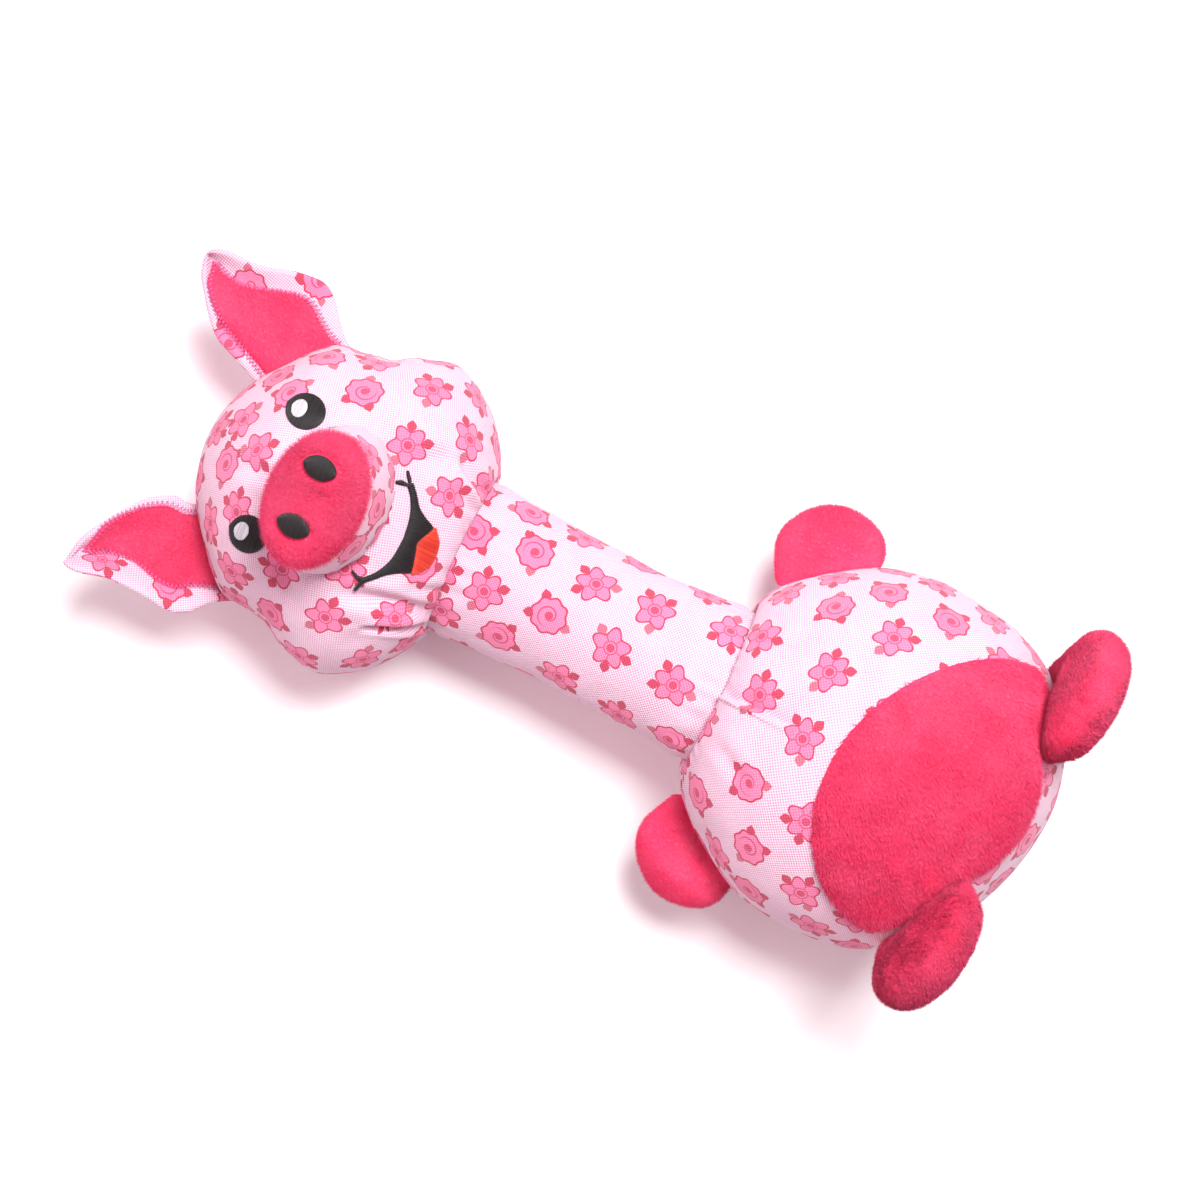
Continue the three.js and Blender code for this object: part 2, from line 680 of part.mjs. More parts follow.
// A limb is a stuffed paddle of two plush panels, pinched thin where it is sewn to the body.
function limb(name, length, width, seatShares, reachShares, side) {
  const seat = ([along, across]) => {
    const y = side * across * body.half;
    const point = body.over((along + side * seatShares.drift) * body.half + seatShares.slump * y, y);
    if (seatShares.below) point.z = -seatShares.below * body.half;
    return point;
  };
  const near = seat(seatShares.near);
  const far = seat(seatShares.far);
  const reach = new THREE.Vector3(reachShares[0], side * reachShares[1], reachShares[2]).normalize();
  const across = far.clone().sub(near);
  across.addScaledVector(reach, -across.dot(reach)).normalize();
  const through = reach.clone().cross(across);
  const inside = near.clone().add(far).divideScalar(2);
  inside.addScaledVector(reach, -body.half / 2);
  const surfaceAt = (b) => body.exit(inside.clone().addScaledVector(across, b), reach);
  const root = surfaceAt(0);
  const origin = inside.clone().addScaledVector(reach, root + seatShares.gaps * gap + limbSeam);
  const frame = new THREE.Matrix4().makeBasis(reach, across, through).setPosition(origin);

  const widest = limbWidestShare * length;
  const outline = (share, inset) => {
    const angle = share * 2 * Math.PI;
    const tipward = Math.cos(angle) >= 0;
    const exponent = tipward ? 1 : 2 / baseRoundness;
    const reachOut = tipward ? length - widest : widest + limbSeam;
    const a = reachOut * power(Math.cos(angle), exponent);
    const point = new THREE.Vector2(a, width / 2 * power(Math.sin(angle), exponent));
    return point.multiplyScalar(1 - inset / point.length());
  };
  const place = (ring, share, inset, half) => {
    const at = outline(share, inset).multiplyScalar(ring);
    const toBase = Math.max(-at.x / (widest + limbSeam), 0);
    const narrow = 1 - baseNarrowShare * toBase;
    const b = at.y * narrow;
    const swell = THREE.MathUtils.smoothstep(at.x + widest + limbSeam, 0, limbSwellShare * length);
    const height = THREE.MathUtils.lerp(limbSeam, limbThickness / 2, swell) - inset;
    const hug = baseHugShare * (surfaceAt(b) - root) * toBase;
    return new THREE.Vector3(at.x + widest + hug, b, half * height * Math.sqrt(1 - ring ** limbRoundness));
  };
  const grid = (rings, sides, inset, half, shift) => rings.map((ring) => {
    const shares = range(sides).slice(0, -1);
    return shares.map((share) => place(ring, share, inset, half).add(new THREE.Vector3(0, 0, shift)));
  });
  const rings = [0, 0.45, 0.75, 0.92, 1];
  const sides = 22;
  const panel = (half) => {
    const layer = (inset) => grid(rings, sides, inset, half, half * gap / 2);
    return wallBetween(layer(0), layer(limbWall), true);
  };
  const inset = limbWall + stuffingGap;
  const domes = [...grid([0, 0.6, 1], 14, inset, 1, 0), ...grid([0, 0.6], 14, inset, -1, 0).reverse()];
  hinge(name, bodyPlace, origin, across, reach);
  const group = assembly(
    piece(`${name}_front`, panel(1), 'plush'),
    piece(`${name}_back`, panel(-1), 'plush'),
    piece(`${name}_stuffing`, ringSolid(domes), 'stuffing'),
  );
  group.applyMatrix4(frame);
  return group;
}

function bellyPatch() {
  const outline = (ring, share) => {
    const angle = share * 2 * Math.PI;
    const corner = Math.cos(angle) > 0 ? bellyCornerShare * Math.sin(2 * angle) ** 2 : 0;
    const reach = ring * (1 - corner);
    const skewed = bellyLength / 2 * Math.cos(angle) + bellySkewLength * Math.sin(angle) ** 2;
    const x = bellyOffset + reach * skewed;
    const y = reach * bellyWidth / 2 * Math.sin(angle);
    return { x: x + bellySlumpShare * y, y };
  };
  const foot = 2 * gap;
  return surfacePatch(body, outline, range(5), 32, foot, foot + plush / 2);
}

// The neck is one tube. Its middle line rises gently from the head's axis to the body's.
function neck() {
  const start = headFillEnd + gap;
  const end = bodyPlace.x + bodyFillEnd - gap;
  const middleAt = (x) => {
    const share = THREE.MathUtils.smoothstep(x, headOpening, headOpening + neckLength);
    return headPlace.clone().lerp(bodyPlace, share).setX(x);
  };
  const radiusAt = (x) => {
    const share = THREE.MathUtils.clamp((x - headOpening) / neckLength, 0, 1);
    return THREE.MathUtils.lerp(neckDiameter, neckWaistDiameter, Math.sin(share * Math.PI) ** waistShare) / 2;
  };
  const ring = (x, radius) => range(arounds).slice(0, -1).map((share) => {
    const angle = share * 2 * Math.PI;
    return middleAt(x).add(new THREE.Vector3(0, radius * Math.cos(angle), radius * Math.sin(angle)));
  });
  const stations = range(10).map((share) => THREE.MathUtils.lerp(start, end, share));
  const layer = (inset) => stations.map((x) => ring(x, radiusAt(x) - inset));
  const tube = wallBetween(layer(0), layer(canvas), true);

  const inside = canvas + gap;
  const nose = squeakerEnd + gap;
  const farNose = bodyPlace.x - nose;
  const rings = [ring(nose, 0), ring(nose, bulbRadius), ring(start, bulbRadius)];
  for (const x of stations) rings.push(ring(x, radiusAt(x) - inside));
  rings.push(ring(end, bulbRadius), ring(farNose, bulbRadius), ring(farNose, 0));
  const coarse = rings.map((points) => points.filter((_, i) => i % 2 === 0));
  return assembly(piece('neck_tube', tube, 'canvas'), piece('neck_stuffing', ringSolid(coarse), 'stuffing'));
}

function headAssembly() {
  const nape = cutBelow(head.panel(-1, canvas, openingRadius), -headPlace.z);
  const group = assembly(
    piece('head_front_panel', head.panel(1, canvas, openingRadius), 'canvas'),
    piece('head_back_panel', nape, 'canvas'),
    piece('head_stuffing', head.stuffing(canvas, headFillEnd, channelRadius, -pocketDepth), 'stuffing'),
    squeaker('head'),
    snout(),
    ...eye(left),
    ...eye(right),
    ...mouth(),
    ...ear(left),
    ...ear(right),
  );
  group.position.copy(headPlace);
  return group;
}

function bodyAssembly() {
  const back = cutBelow(body.panel(-1, canvas, openingRadius), -bodyPlace.z);
  const bodySqueaker = squeaker('body');
  bodySqueaker.rotation.z = Math.PI;
  const group = assembly(
    piece('body_front_panel', body.panel(1, canvas, openingRadius), 'canvas'),
    piece('body_back_panel', back, 'canvas'),
    piece('body_stuffing', body.stuffing(canvas, bodyFillEnd, channelRadius, pocketDepth), 'stuffing'),
    piece('belly_patch', bellyPatch(), 'plush'),
    bodySqueaker,
    limb('left_arm', armLength, armWidth, armSeatShares, armReachShares, left),
    limb('right_arm', armLength, armWidth, armSeatShares, armReachShares, right),
    limb('left_leg', legLength, legWidth, legSeatShares, legReachShares, left),
    limb('right_leg', legLength, legWidth, legSeatShares, legReachShares, right),
  );
  group.position.copy(bodyPlace);
  return group;
}

// The origin is the middle of the toy's footprint, on the surface it lies on.
const toy = assembly(headAssembly(), neck(), bodyAssembly());
toy.updateMatrixWorld(true);
const middle = new THREE.Box3().setFromObject(toy, true).getCenter(new THREE.Vector3());
toy.position.set(-middle.x, -middle.y, 0);
toy.userData.hinges = hinges.map(({ name, origin, axis }) => (
  { name, origin: origin.clone().add(toy.position).toArray(), axis: axis.toArray() }));

export default toy;
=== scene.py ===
# %% [markdown]
# # A stuffed pig toy of printed canvas and plush
# The toy lies on its back. A round head and a round seat are joined by a long neck that a dog can grip.
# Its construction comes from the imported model, which stays as it is. This lesson dresses it: every cover is
# cut, stuffed and sewn as its own mesh, and then gets its cloth.

# %% Load the frame
import json
import math
from itertools import product

import bpy
import numpy as np
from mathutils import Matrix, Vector, noise
from mathutils.bvhtree import BVHTree
from mathutils.kdtree import KDTree


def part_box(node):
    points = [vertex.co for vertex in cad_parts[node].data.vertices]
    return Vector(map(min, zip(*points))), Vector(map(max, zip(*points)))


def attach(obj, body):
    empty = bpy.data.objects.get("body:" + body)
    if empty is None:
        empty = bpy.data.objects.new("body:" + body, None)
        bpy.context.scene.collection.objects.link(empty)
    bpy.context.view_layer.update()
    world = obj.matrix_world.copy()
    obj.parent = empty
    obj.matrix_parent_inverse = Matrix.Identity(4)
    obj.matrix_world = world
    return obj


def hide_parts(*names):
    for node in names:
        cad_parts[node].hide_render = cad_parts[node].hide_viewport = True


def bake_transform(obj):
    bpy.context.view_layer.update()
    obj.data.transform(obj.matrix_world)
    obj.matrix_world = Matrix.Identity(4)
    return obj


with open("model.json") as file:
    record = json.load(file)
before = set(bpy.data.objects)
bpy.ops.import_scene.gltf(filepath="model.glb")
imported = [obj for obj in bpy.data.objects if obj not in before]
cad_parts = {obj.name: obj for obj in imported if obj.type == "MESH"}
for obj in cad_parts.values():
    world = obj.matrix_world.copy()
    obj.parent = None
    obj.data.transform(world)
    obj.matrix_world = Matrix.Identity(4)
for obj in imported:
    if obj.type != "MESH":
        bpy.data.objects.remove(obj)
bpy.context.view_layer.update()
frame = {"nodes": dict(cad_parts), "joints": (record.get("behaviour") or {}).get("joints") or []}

mm = 0.001


def middle(node):
    low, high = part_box(node)
    return np.array((low + high) / 2)


def placed(name, data):
    """A new object in the scene."""
    made = bpy.data.objects.new(name, data)
    bpy.context.scene.collection.objects.link(made)
    return made


head_at = middle("head_squeaker_bulb")
body_at = middle("body_squeaker_bulb")
print("head at", head_at.round(4), "body at", body_at.round(4))

# %% [markdown]
# ## The camera
# The photograph looks straight down, turned by a quarter of a right angle, from a little under a metre.
# The camera aims at the point of the toy that the middle of the picture shows.

# %% Camera
camera_turn = math.radians(25.4)
camera_height = 893 * mm
picture_width = 396 * mm
aim_past_head, aim_aside, aim_height = 93.8 * mm, 8.7 * mm, 52 * mm
aim = Vector((head_at[0] + aim_past_head, aim_aside, aim_height))

lens = bpy.data.cameras.new("camera")
camera = placed("camera", lens)
bpy.context.scene.camera = camera
lens.angle = 2 * math.atan(picture_width / 2 / camera_height)
camera.location = aim + Vector((0, 0, camera_height))
camera.rotation_euler = (0, 0, camera_turn)

# %% [markdown]
# ## Arithmetic on sockets
# A pattern is a formula of the place on the cloth. This small class wraps a socket, so that a formula can be
# written as one and each operation adds its Math node. The tree class makes every other node.

# %% Fields and trees
class Field:
    """A value that changes over a surface. Each operation on it adds a Math node."""

    def __init__(self, tree, socket):
        self.tree = tree
        self.socket = socket

    def fade(self, low, high):
        """0 at low and 1 at high, smoothly. With low above high it falls."""
        values = {"Value": self, "From Min": low, "From Max": high}
        return self.tree.field("ShaderNodeMapRange", {"interpolation_type": "SMOOTHSTEP"}, values)


def math_node(operation, reflected=False):
    """A method that adds a Math node. It is reflected where the field stands on the right of the sign."""
    def method(field, *others):
        values = (*others, field) if reflected else (field, *others)
        return field.tree.field("ShaderNodeMath", {"operation": operation}, dict(enumerate(values)))
    return method


plain = {
    "__add__": "ADD", "__sub__": "SUBTRACT", "__mul__": "MULTIPLY", "__truediv__": "DIVIDE",
    "__pow__": "POWER", "sin": "SINE", "cos": "COSINE", "abs": "ABSOLUTE", "max": "MAXIMUM", "min": "MINIMUM",
}
reflected = {"__radd__": "ADD", "__rsub__": "SUBTRACT", "__rmul__": "MULTIPLY"}
for method, operation in plain.items():
    setattr(Field, method, math_node(operation))
for method, operation in reflected.items():
    setattr(Field, method, math_node(operation, reflected=True))


class Tree:
    """The nodes of one material or one geometry tree."""

    def __init__(self, tree):
        self.tree = tree

    def node(self, kind, settings=None, values=None):
        made = self.tree.nodes.new(kind)
        for name, setting in (settings or {}).items():
            setattr(made, name, setting)
        for key, value in (values or {}).items():
            if isinstance(value, Field):
                self.tree.links.new(value.socket, made.inputs[key])
            else:
                made.inputs[key].default_value = value
        return made

    def field(self, kind, settings=None, values=None, output=0):
        return Field(self, self.node(kind, settings, values).outputs[output])

    def split(self, vector):
        node = self.node("ShaderNodeSeparateXYZ", values={0: vector})
        return [Field(self, node.outputs[i]) for i in range(3)]

    def blend(self, share, first, second):
        values = {"Factor": share, 6: first, 7: second}
        return self.field("ShaderNodeMix", {"data_type": "RGBA"}, values, output=2)

    def noise(self, place, scale, detail=2.0):
        values = {"Vector": place, "Scale": scale, "Detail": detail}
        return self.field("ShaderNodeTexNoise", values=values)

    def bump(self, height, distance):
        return self.field("ShaderNodeBump", values={"Height": height, "Distance": distance})


def srgb(red, green, blue):
    """A colour read as 0 to 255, in the linear values that a socket takes."""
    linear = [((c / 255 + 0.055) / 1.055) ** 2.4 for c in (red, green, blue)]
    return (*linear, 1.0)


def new_material(name, draw):
    """A material whose Principled sockets come from draw, a function of its tree."""
    material = bpy.data.materials.new(name)
    material.use_nodes = True
    material.node_tree.nodes.clear()
    tree = Tree(material.node_tree)
    shader = tree.field("ShaderNodeBsdfPrincipled", values=draw(tree))
    tree.node("ShaderNodeOutputMaterial", values={"Surface": shader})
    return material


# %% [markdown]
# ## Printed canvas
# The covers are oxford cloth. Its yarns cross every three quarters of a millimetre, and each crossing shows
# as a pale dot in a pinker ground. The cloth map holds the place on the cloth in millimetres, so the weave
# keeps its size wherever the cover bulges. The print is a scatter of blossoms: a second map holds the place
# relative to the nearest blossom, and a third one tells the kinds apart.

# %% Canvas
crossing_pitch = 1.09
blossom_radius = 6.8
outline_width, outline_core = 0.46, 0.21
blur = 0.12
heart_start, heart_end = 1.5, 1.3
ring_radius = 2.2
leaf_start, leaf_length, leaf_width = 4.4, 4.4, 1.7
leaf_angles = (36, 108, -100)
print_strength = 0.92


def canvas(tree):
    cloth = tree.field("ShaderNodeUVMap", {"uv_map": "cloth"})
    warp, weft, _ = tree.split(cloth)
    wave = 2 * math.pi / crossing_pitch
    dot = ((warp * wave).sin() * (weft * wave).sin()).fade(-0.6, 0.7)
    patchy = tree.noise(cloth, 0.09)
    ground = tree.blend(dot, srgb(218, 154, 186), srgb(245, 226, 236))
    ground = tree.blend(patchy.fade(0.3, 0.75) * 0.4, ground, srgb(236, 203, 223))

    motif = tree.field("ShaderNodeUVMap", {"uv_map": "motif"})
    x, y, _ = tree.split(motif)
    kind, tone, _ = tree.split(tree.field("ShaderNodeUVMap", {"uv_map": "kind"}))
    rosette = kind.fade(0.62, 0.63)
    far = (x * x + y * y) ** 0.5
    angle = tree.field("ShaderNodeMath", {"operation": "ARCTAN2"}, {0: y, 1: x})
    petals = 0.83 + 0.17 * (angle * 5.0).cos()
    scallops = 0.86 + 0.05 * (angle * 8.0).cos()
    edge = blossom_radius * (petals * (1 - rosette) + scallops * rosette)
    inside = (far - edge).fade(blur, -blur)
    outline = (far - edge).abs().fade(outline_width, outline_core)
    vein = (angle * 2.5).cos().abs().fade(0.22, 0.1) * far.fade(1.9, 2.4) * far.fade(4.4, 3.8) * (1 - rosette)
    coil = (far * 2.3 - angle).cos().fade(0.72, 0.95) * far.fade(4.2, 3.7) * rosette
    heart = far.fade(heart_start, heart_end)
    ring = (far - ring_radius).abs().fade(0.3, 0.15) * (1 - rosette)

    def leaf(direction):
        cosine, sine = math.cos(direction), math.sin(direction)
        reach = x * cosine + y * sine
        aside = (y * cosine - x * sine).abs()
        share = (reach - leaf_start) / leaf_length
        width = (share.max(0.0).min(1.0) * math.pi).sin() * leaf_width
        return (aside - width).fade(blur, -blur) * share.fade(0.0, 0.05) * (1 - inside)

    first, second, third = (leaf(math.radians(degrees)) for degrees in leaf_angles)
    leaves = first.max(second).max(third * 0.8)
    lines = outline.max(vein * 0.75).max(heart * 0.8).max(ring * 0.7).max(coil * 0.8)
    fill = tree.blend(tone, srgb(242, 118, 164), srgb(236, 104, 150))
    fill = tree.blend(dot * 0.6, fill, srgb(246, 158, 194))
    ink = tree.blend(dot * 0.45, srgb(190, 34, 70), srgb(212, 66, 102))
    printed = tree.blend(inside * (0.86 + 0.12 * dot), ground, fill)
    printed = tree.blend(leaves.max(lines) * print_strength, printed, ink)
    crease = tree.noise(cloth, 0.35, 3.0)
    return {
        "Base Color": printed,
        "Roughness": 0.82,
        "Specular IOR Level": 0.25,
        "Sheen Weight": 0.15,
        "Sheen Roughness": 0.5,
        "Normal": tree.bump(dot * 0.7 + crease * 0.9, 0.00022),
    }


canvas_cloth = new_material("printed_canvas", canvas)

# %% [markdown]
# ## Plush
# The trim is short pile. Its tufts are geometry, and each tuft carries two numbers: how far up the pile a
# point lies, and the tuft's own tone. The roots are deep rose and the tips light, which is painted shade deep
# in the pile, and slow noise on the toy's own coordinates paints lighter and darker patches: the painted shade
# and sheen of pile that a hand stroked into different directions.

# %% Plush
def plush(tree):
    pile = tree.field("ShaderNodeAttribute", {"attribute_name": "pile"}, output=2)
    tone = tree.field("ShaderNodeAttribute", {"attribute_name": "tone"}, output=2)
    place = tree.field("ShaderNodeTexCoord", output=3)
    # The slow noise is both the bump of the pile's lay and its painted shade and sheen.
    lay_bump_and_shade = tree.noise(place, 95.0)
    fleck = tree.noise(place, 900.0, 1.0)
    lay_shade_patches = tree.noise(place, 42.0, 1.0)
    # Painted shade: roots darker than tips stand for shade in the pile, and the slow noise paints the shade
    # and sheen of its lay.
    light = pile * 0.6 + tone * 0.4 + (lay_bump_and_shade + lay_shade_patches).fade(0.8, 1.25) * 0.5 - 0.25
    rose = tree.blend(light.max(0.0).min(1.0), srgb(252, 50, 98), srgb(255, 82, 126))
    return {
        "Base Color": tree.blend(fleck.fade(0.55, 0.8) * 0.25, rose, srgb(255, 140, 176)),
        "Roughness": 0.6,
        "Specular IOR Level": 0.2,
        "Sheen Weight": 1.0,
        "Sheen Roughness": 0.5,
        "Sheen Tint": srgb(255, 110, 150),
        "Normal": tree.bump(fleck + lay_bump_and_shade, 0.0004),
    }


plush_pile = new_material("pink_plush", plush)

# %% [markdown]
# ## Thread
# Satin stitch is rows of shiny thread laid side by side. The thread's own geometry catches the light, and a
# fine twist is added as bump.

# %% Thread
def thread(dark, light):
    def draw(tree):
        place = tree.field("ShaderNodeTexCoord", output=3)
        x, _, _ = tree.split(place)
        fuzz = tree.noise(place, 2600.0, 1.0)
        tone = tree.field("ShaderNodeAttribute", {"attribute_name": "tone"}, output=2)
        return {
            "Base Color": tree.blend(tone * 0.7 + fuzz * 0.3, dark, light),
            "Roughness": 0.36 + fuzz * 0.2,
            "Specular IOR Level": 0.5,
            "Sheen Weight": 0.1,
            "Normal": tree.bump(fuzz + (x * 9000.0).sin() * 0.3, 0.00005),
        }
    return draw


black_thread = new_material("black_thread", thread(srgb(8, 6, 8), srgb(34, 27, 31)))
white_thread = new_material("white_thread", thread(srgb(190, 186, 194), srgb(226, 222, 230)))
red_thread = new_material("red_thread", thread(srgb(196, 34, 26), srgb(246, 82, 52)))
pink_thread = new_material("pink_thread", thread(srgb(226, 60, 134), srgb(250, 118, 184)))

# %% [markdown]
# ## Squeakers
# The bulbs and their reeds lie inside the stuffing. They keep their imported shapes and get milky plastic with
# the faint ripple of a blow mould.

# %% Squeaker plastic
def milky(ground, ripple):
    def draw(tree):
        place = tree.field("ShaderNodeTexCoord", output=3)
        cloud = tree.noise(place, 160.0)
        return {
            "Base Color": tree.blend(cloud, ground, ripple),
            "Roughness": 0.3 + cloud * 0.25,
            "Normal": tree.bump(cloud, 0.0002),
        }
    return draw


bulb_plastic = new_material("squeaker_plastic", milky(srgb(222, 214, 196), srgb(240, 234, 220)))
reed_plastic = new_material("reed_plastic", milky(srgb(226, 226, 232), srgb(244, 244, 248)))
for end in ("head", "body"):
    for part, material in (("bulb", bulb_plastic), ("reed", reed_plastic)):
        node = frame["nodes"][f"{end}_squeaker_{part}"]
        node.data.materials.clear()
        node.data.materials.append(material)

# %% [markdown]
# ## Stuffed forms
# The head and the body are rounded forms about the toy's long axis, given by a few shares along a half turn
# from the closed end to the neck. These are the curves that the toy's construction follows, so the covers fit
# round it.

# %% The form of a stuffed end
head_width = 112 * mm
body_width = 123 * mm
neck_radius = 27.5 * mm
neck_waist = 25 * mm
neck_inset = 4 * mm
seam_gap = 0.15 * mm
front_roundness = 2.15
back_roundness = 2.5
body_slump = 0.1

head_radii = [
    (0, 0.84), (0.11, 0.828), (0.256, 0.828), (0.322, 0.86), (0.372, 0.885), (0.433, 0.862), (0.483, 0.88),
    (0.544, 0.975), (0.606, 1.055), (0.672, 1.05), (0.75, 1.01), (0.817, 0.975), (0.861, 0.95), (1, 0.9),
]
face_depths = [
    (0, 0.95), (0.37, 0.95), (0.5, 0.88), (0.6, 0.78), (0.72, 0.85), (0.8, 0.95), (0.86, 1), (1, 1),
]
nape_depths = [
    (0, 0.95), (0.37, 0.92), (0.5, 0.84), (0.6, 0.77), (0.72, 0.84), (0.8, 0.94), (0.86, 1), (1, 1),
]
body_radii = [
    (0, 0.89), (0.13, 0.92), (0.25, 0.955), (0.35, 0.99), (0.5, 1), (0.645, 1.037), (0.728, 1.046),
    (0.79, 1.072), (0.845, 1.08), (0.87, 1.068), (1, 1),
]
belly_depths = [(0, 1), (0.3, 0.93), (0.5, 0.895), (0.7, 0.9), (0.8, 0.95), (0.87, 1), (1, 1)]
back_depths = [(0, 1), (0.3, 0.9), (0.5, 0.86), (0.7, 0.88), (0.8, 0.95), (0.87, 1), (1, 1)]


def curve(shares, at):
    """A smooth curve through a list of shares."""
    x, y = np.array(shares, float).T
    last = len(x) - 1
    before = np.maximum(np.arange(last + 1) - 1, 0)
    after = np.minimum(np.arange(last + 1) + 1, last)
    slope = (y[after] - y[before]) / (x[after] - x[before])
    i = np.clip(np.searchsorted(x, at) - 1, 0, last - 1)
    span = x[i + 1] - x[i]
    t = np.clip((at - x[i]) / span, 0, 1)
    start = y[i] * (2 * t**3 - 3 * t**2 + 1) + slope[i] * span * (t**3 - 2 * t**2 + t)
    return start + y[i + 1] * (3 * t**2 - 2 * t**3) + slope[i + 1] * span * (t**3 - t**2)


def smooth(low, high, value):
    t = np.clip((value - low) / (high - low), 0, 1)
    return t * t * (3 - 2 * t)


def power(value, exponent):
    return np.sign(value) * np.abs(value) ** exponent


def unit(vectors):
    return vectors / np.maximum(np.linalg.norm(vectors, axis=-1, keepdims=True), 1e-12)


def bell(value, width, centre=0.0):
    """1 at the centre, falling to 0 on both sides."""
    return np.exp(-(((value - centre) / width) ** 2))


def ripple(angle, folds, drift):
    """Folds along an angle, unevenly spaced."""
    return np.sin(angle * folds + 2 * np.sin(angle * drift))


def full_turn(count):
    return np.linspace(0, 2 * math.pi, count + 1)[:-1]


def spin(angle):
    return np.stack([np.cos(angle), np.sin(angle)], -1)


def nearest_of(points):
    """A search tree of points, each known by its place in the list."""
    tree = KDTree(len(points))
    for i, point in enumerate(points):
        tree.insert(point, i)
    tree.balance()
    return tree


class Form:
    """A stuffed end: pole is -1 where its closed end points to -X and 1 where it points to +X."""

    def __init__(self, place, pole, width, slump, radii, front, back):
        self.place = place
        self.pole = pole
        self.half = width / 2
        self.slump = slump
        self.radii = radii
        self.front = front
        self.back = back

    def raw(self, turn, around):
        share = turn / math.pi
        reach = self.half * curve(self.radii, share)
        up = np.sin(around) >= 0
        depth = np.where(up, curve(self.front, share), curve(self.back, share))
        exponent = np.where(up, 2 / front_roundness, 2 / back_roundness)
        x = self.pole * reach * np.cos(turn)
        y = reach * np.sin(turn) * power(np.cos(around), exponent)
        z = reach * np.sin(turn) * depth * power(np.sin(around), exponent)
        settled = smooth(0, self.half, self.pole * x)
        return np.stack([x + self.slump * y * settled, y, z], -1) + self.place

    def normal(self, turn, around):
        step = 0.003
        turn = np.maximum(turn, 2 * step)
        along = self.raw(turn + step, around) - self.raw(turn - step, around)
        across = self.raw(turn, around + step) - self.raw(turn, around - step)
        return unit(np.cross(along, across)) * self.pole

    def opening(self, around, radius):
        """The turn at which the form narrows to the neck."""
        low = np.full(around.shape, 0.6 * math.pi)
        high = np.full(around.shape, 0.95 * math.pi)
        for _ in range(30):
            centre = (low + high) / 2
            y, z = (self.raw(centre, around) - self.place)[..., 1:].T
            inside = np.hypot(y, z).T < radius
            high = np.where(inside, centre, high)
            low = np.where(inside, low, centre)
        return (low + high) / 2


head = Form(head_at, -1, head_width, 0, head_radii, face_depths, nape_depths)
body = Form(body_at, 1, body_width, body_slump, body_radii, belly_depths, back_depths)

# %% [markdown]
# ## Meshes from grids
# Most pieces are a grid of points, so one function turns a grid into a mesh. Its first row can close in a
# point, and its columns can wrap round. It keeps each piece at the origin, with its place in its mesh.

# %% Grid meshes
def grid_faces(rows, columns, wrap=False):
    i, j = np.meshgrid(np.arange(rows - 1), np.arange(columns if wrap else columns - 1), indexing="ij")
    k = (j + 1) % columns
    corners = [i * columns + j, (i + 1) * columns + j, (i + 1) * columns + k, i * columns + k]
    return np.stack([c.ravel() for c in corners], -1)


def add_object(name, points, faces, material):
    """A new mesh object whose faces look away from its middle."""
    points = np.asarray(points, float)
    mesh = bpy.data.meshes.new(name)
    mesh.from_pydata(points.tolist(), [], [list(map(int, face)) for face in faces])
    mesh.validate()
    centre = Vector(points.mean(0))
    if sum((face.center - centre).dot(face.normal) * face.area for face in mesh.polygons) < 0:
        mesh.flip_normals()
    mesh.materials.append(material)
    mesh.shade_smooth()
    return placed(name, mesh)


def weld(points, faces):
    """Joins points at one place, as where a row closes in a point, and drops the faces that vanish."""
    keys = np.round(points / (0.002 * mm)).astype(np.int64)
    _, first, place = np.unique(keys, axis=0, return_index=True, return_inverse=True)
    place = place.ravel()
    welded = []
    for face in place[faces]:
        kept = [v for n, v in enumerate(face) if v != face[n - 1]]
        if len(set(kept)) > 2:
            welded.append(kept)
    return points[first], welded, first


def read(items, attribute, width=1, kind=np.float32):
    """One attribute of every item, as an array."""
    flat = np.empty(len(items) * width, kind)
    items.foreach_get(attribute, flat)
    return flat.reshape(-1, width) if width > 1 else flat


def coordinates(mesh):
    return read(mesh.vertices, "co", 3).astype(float)


def corner_vertices(mesh):
    return read(mesh.loops, "vertex_index", kind=np.int32)


def store(mesh, name, values, kind="FLOAT", field="value"):
    """Gives every point of a mesh an attribute."""
    mesh.attributes.new(name, kind, "POINT").data.foreach_set(field, np.asarray(values, np.float32).ravel())


def write_map(mesh, name, values):
    """Writes a UV map with one pair of numbers per corner."""
    layer = mesh.uv_layers.new(name=name, do_init=False)
    layer.uv.foreach_set("vector", np.asarray(values, np.float32).ravel())


def slab(name, top, bottom, material, wrap=False):
    """A closed solid between two grids of the same size. Pile grows only on its top."""
    rows, columns = top.shape[:2]
    count = rows * columns
    points = np.concatenate([top.reshape(-1, 3), bottom.reshape(-1, 3)])
    faces = grid_faces(rows, columns, wrap)
    sheets = [faces, faces[:, ::-1] + count]
    index = np.arange(count).reshape(rows, columns)
    rims = []
    edges = [index[0], index[-1][::-1]] + ([] if wrap else [index[:, 0][::-1], index[:, -1]])
    for edge in edges:
        loop = np.append(edge, edge[0]) if wrap else edge
        a, b = loop[:-1], loop[1:]
        rims.append(np.stack([b, a, a + count, b + count], -1)[:, ::-1])
    points, faces, kept = weld(points, np.concatenate(sheets + rims))
    made = add_object(name, points, faces, material)
    store(made.data, "thin", kept < count)
    return made


# %% [markdown]
# ## The cloth map and the print
# A cover is cut from flat cloth. Its map unrolls it from the middle of the cover outwards, which hardly
# stretches it. The blossoms stand on a jittered, staggered lattice of that map. Each is then found on the
# surface and spread over its nearest faces in the plane that touches it, so none is stretched at a seam.

# %% Cloth maps
print_pitch = 21.5
row_pitch = 18.5
print_jitter = 2.6
print_margin = 3.0
most_stretched = 3
dome_height, dome_unrolled = 0.82, 0.93
dome_shift = (3.0, 7.0)
measured = {"covers": 0, "blossoms": 0}


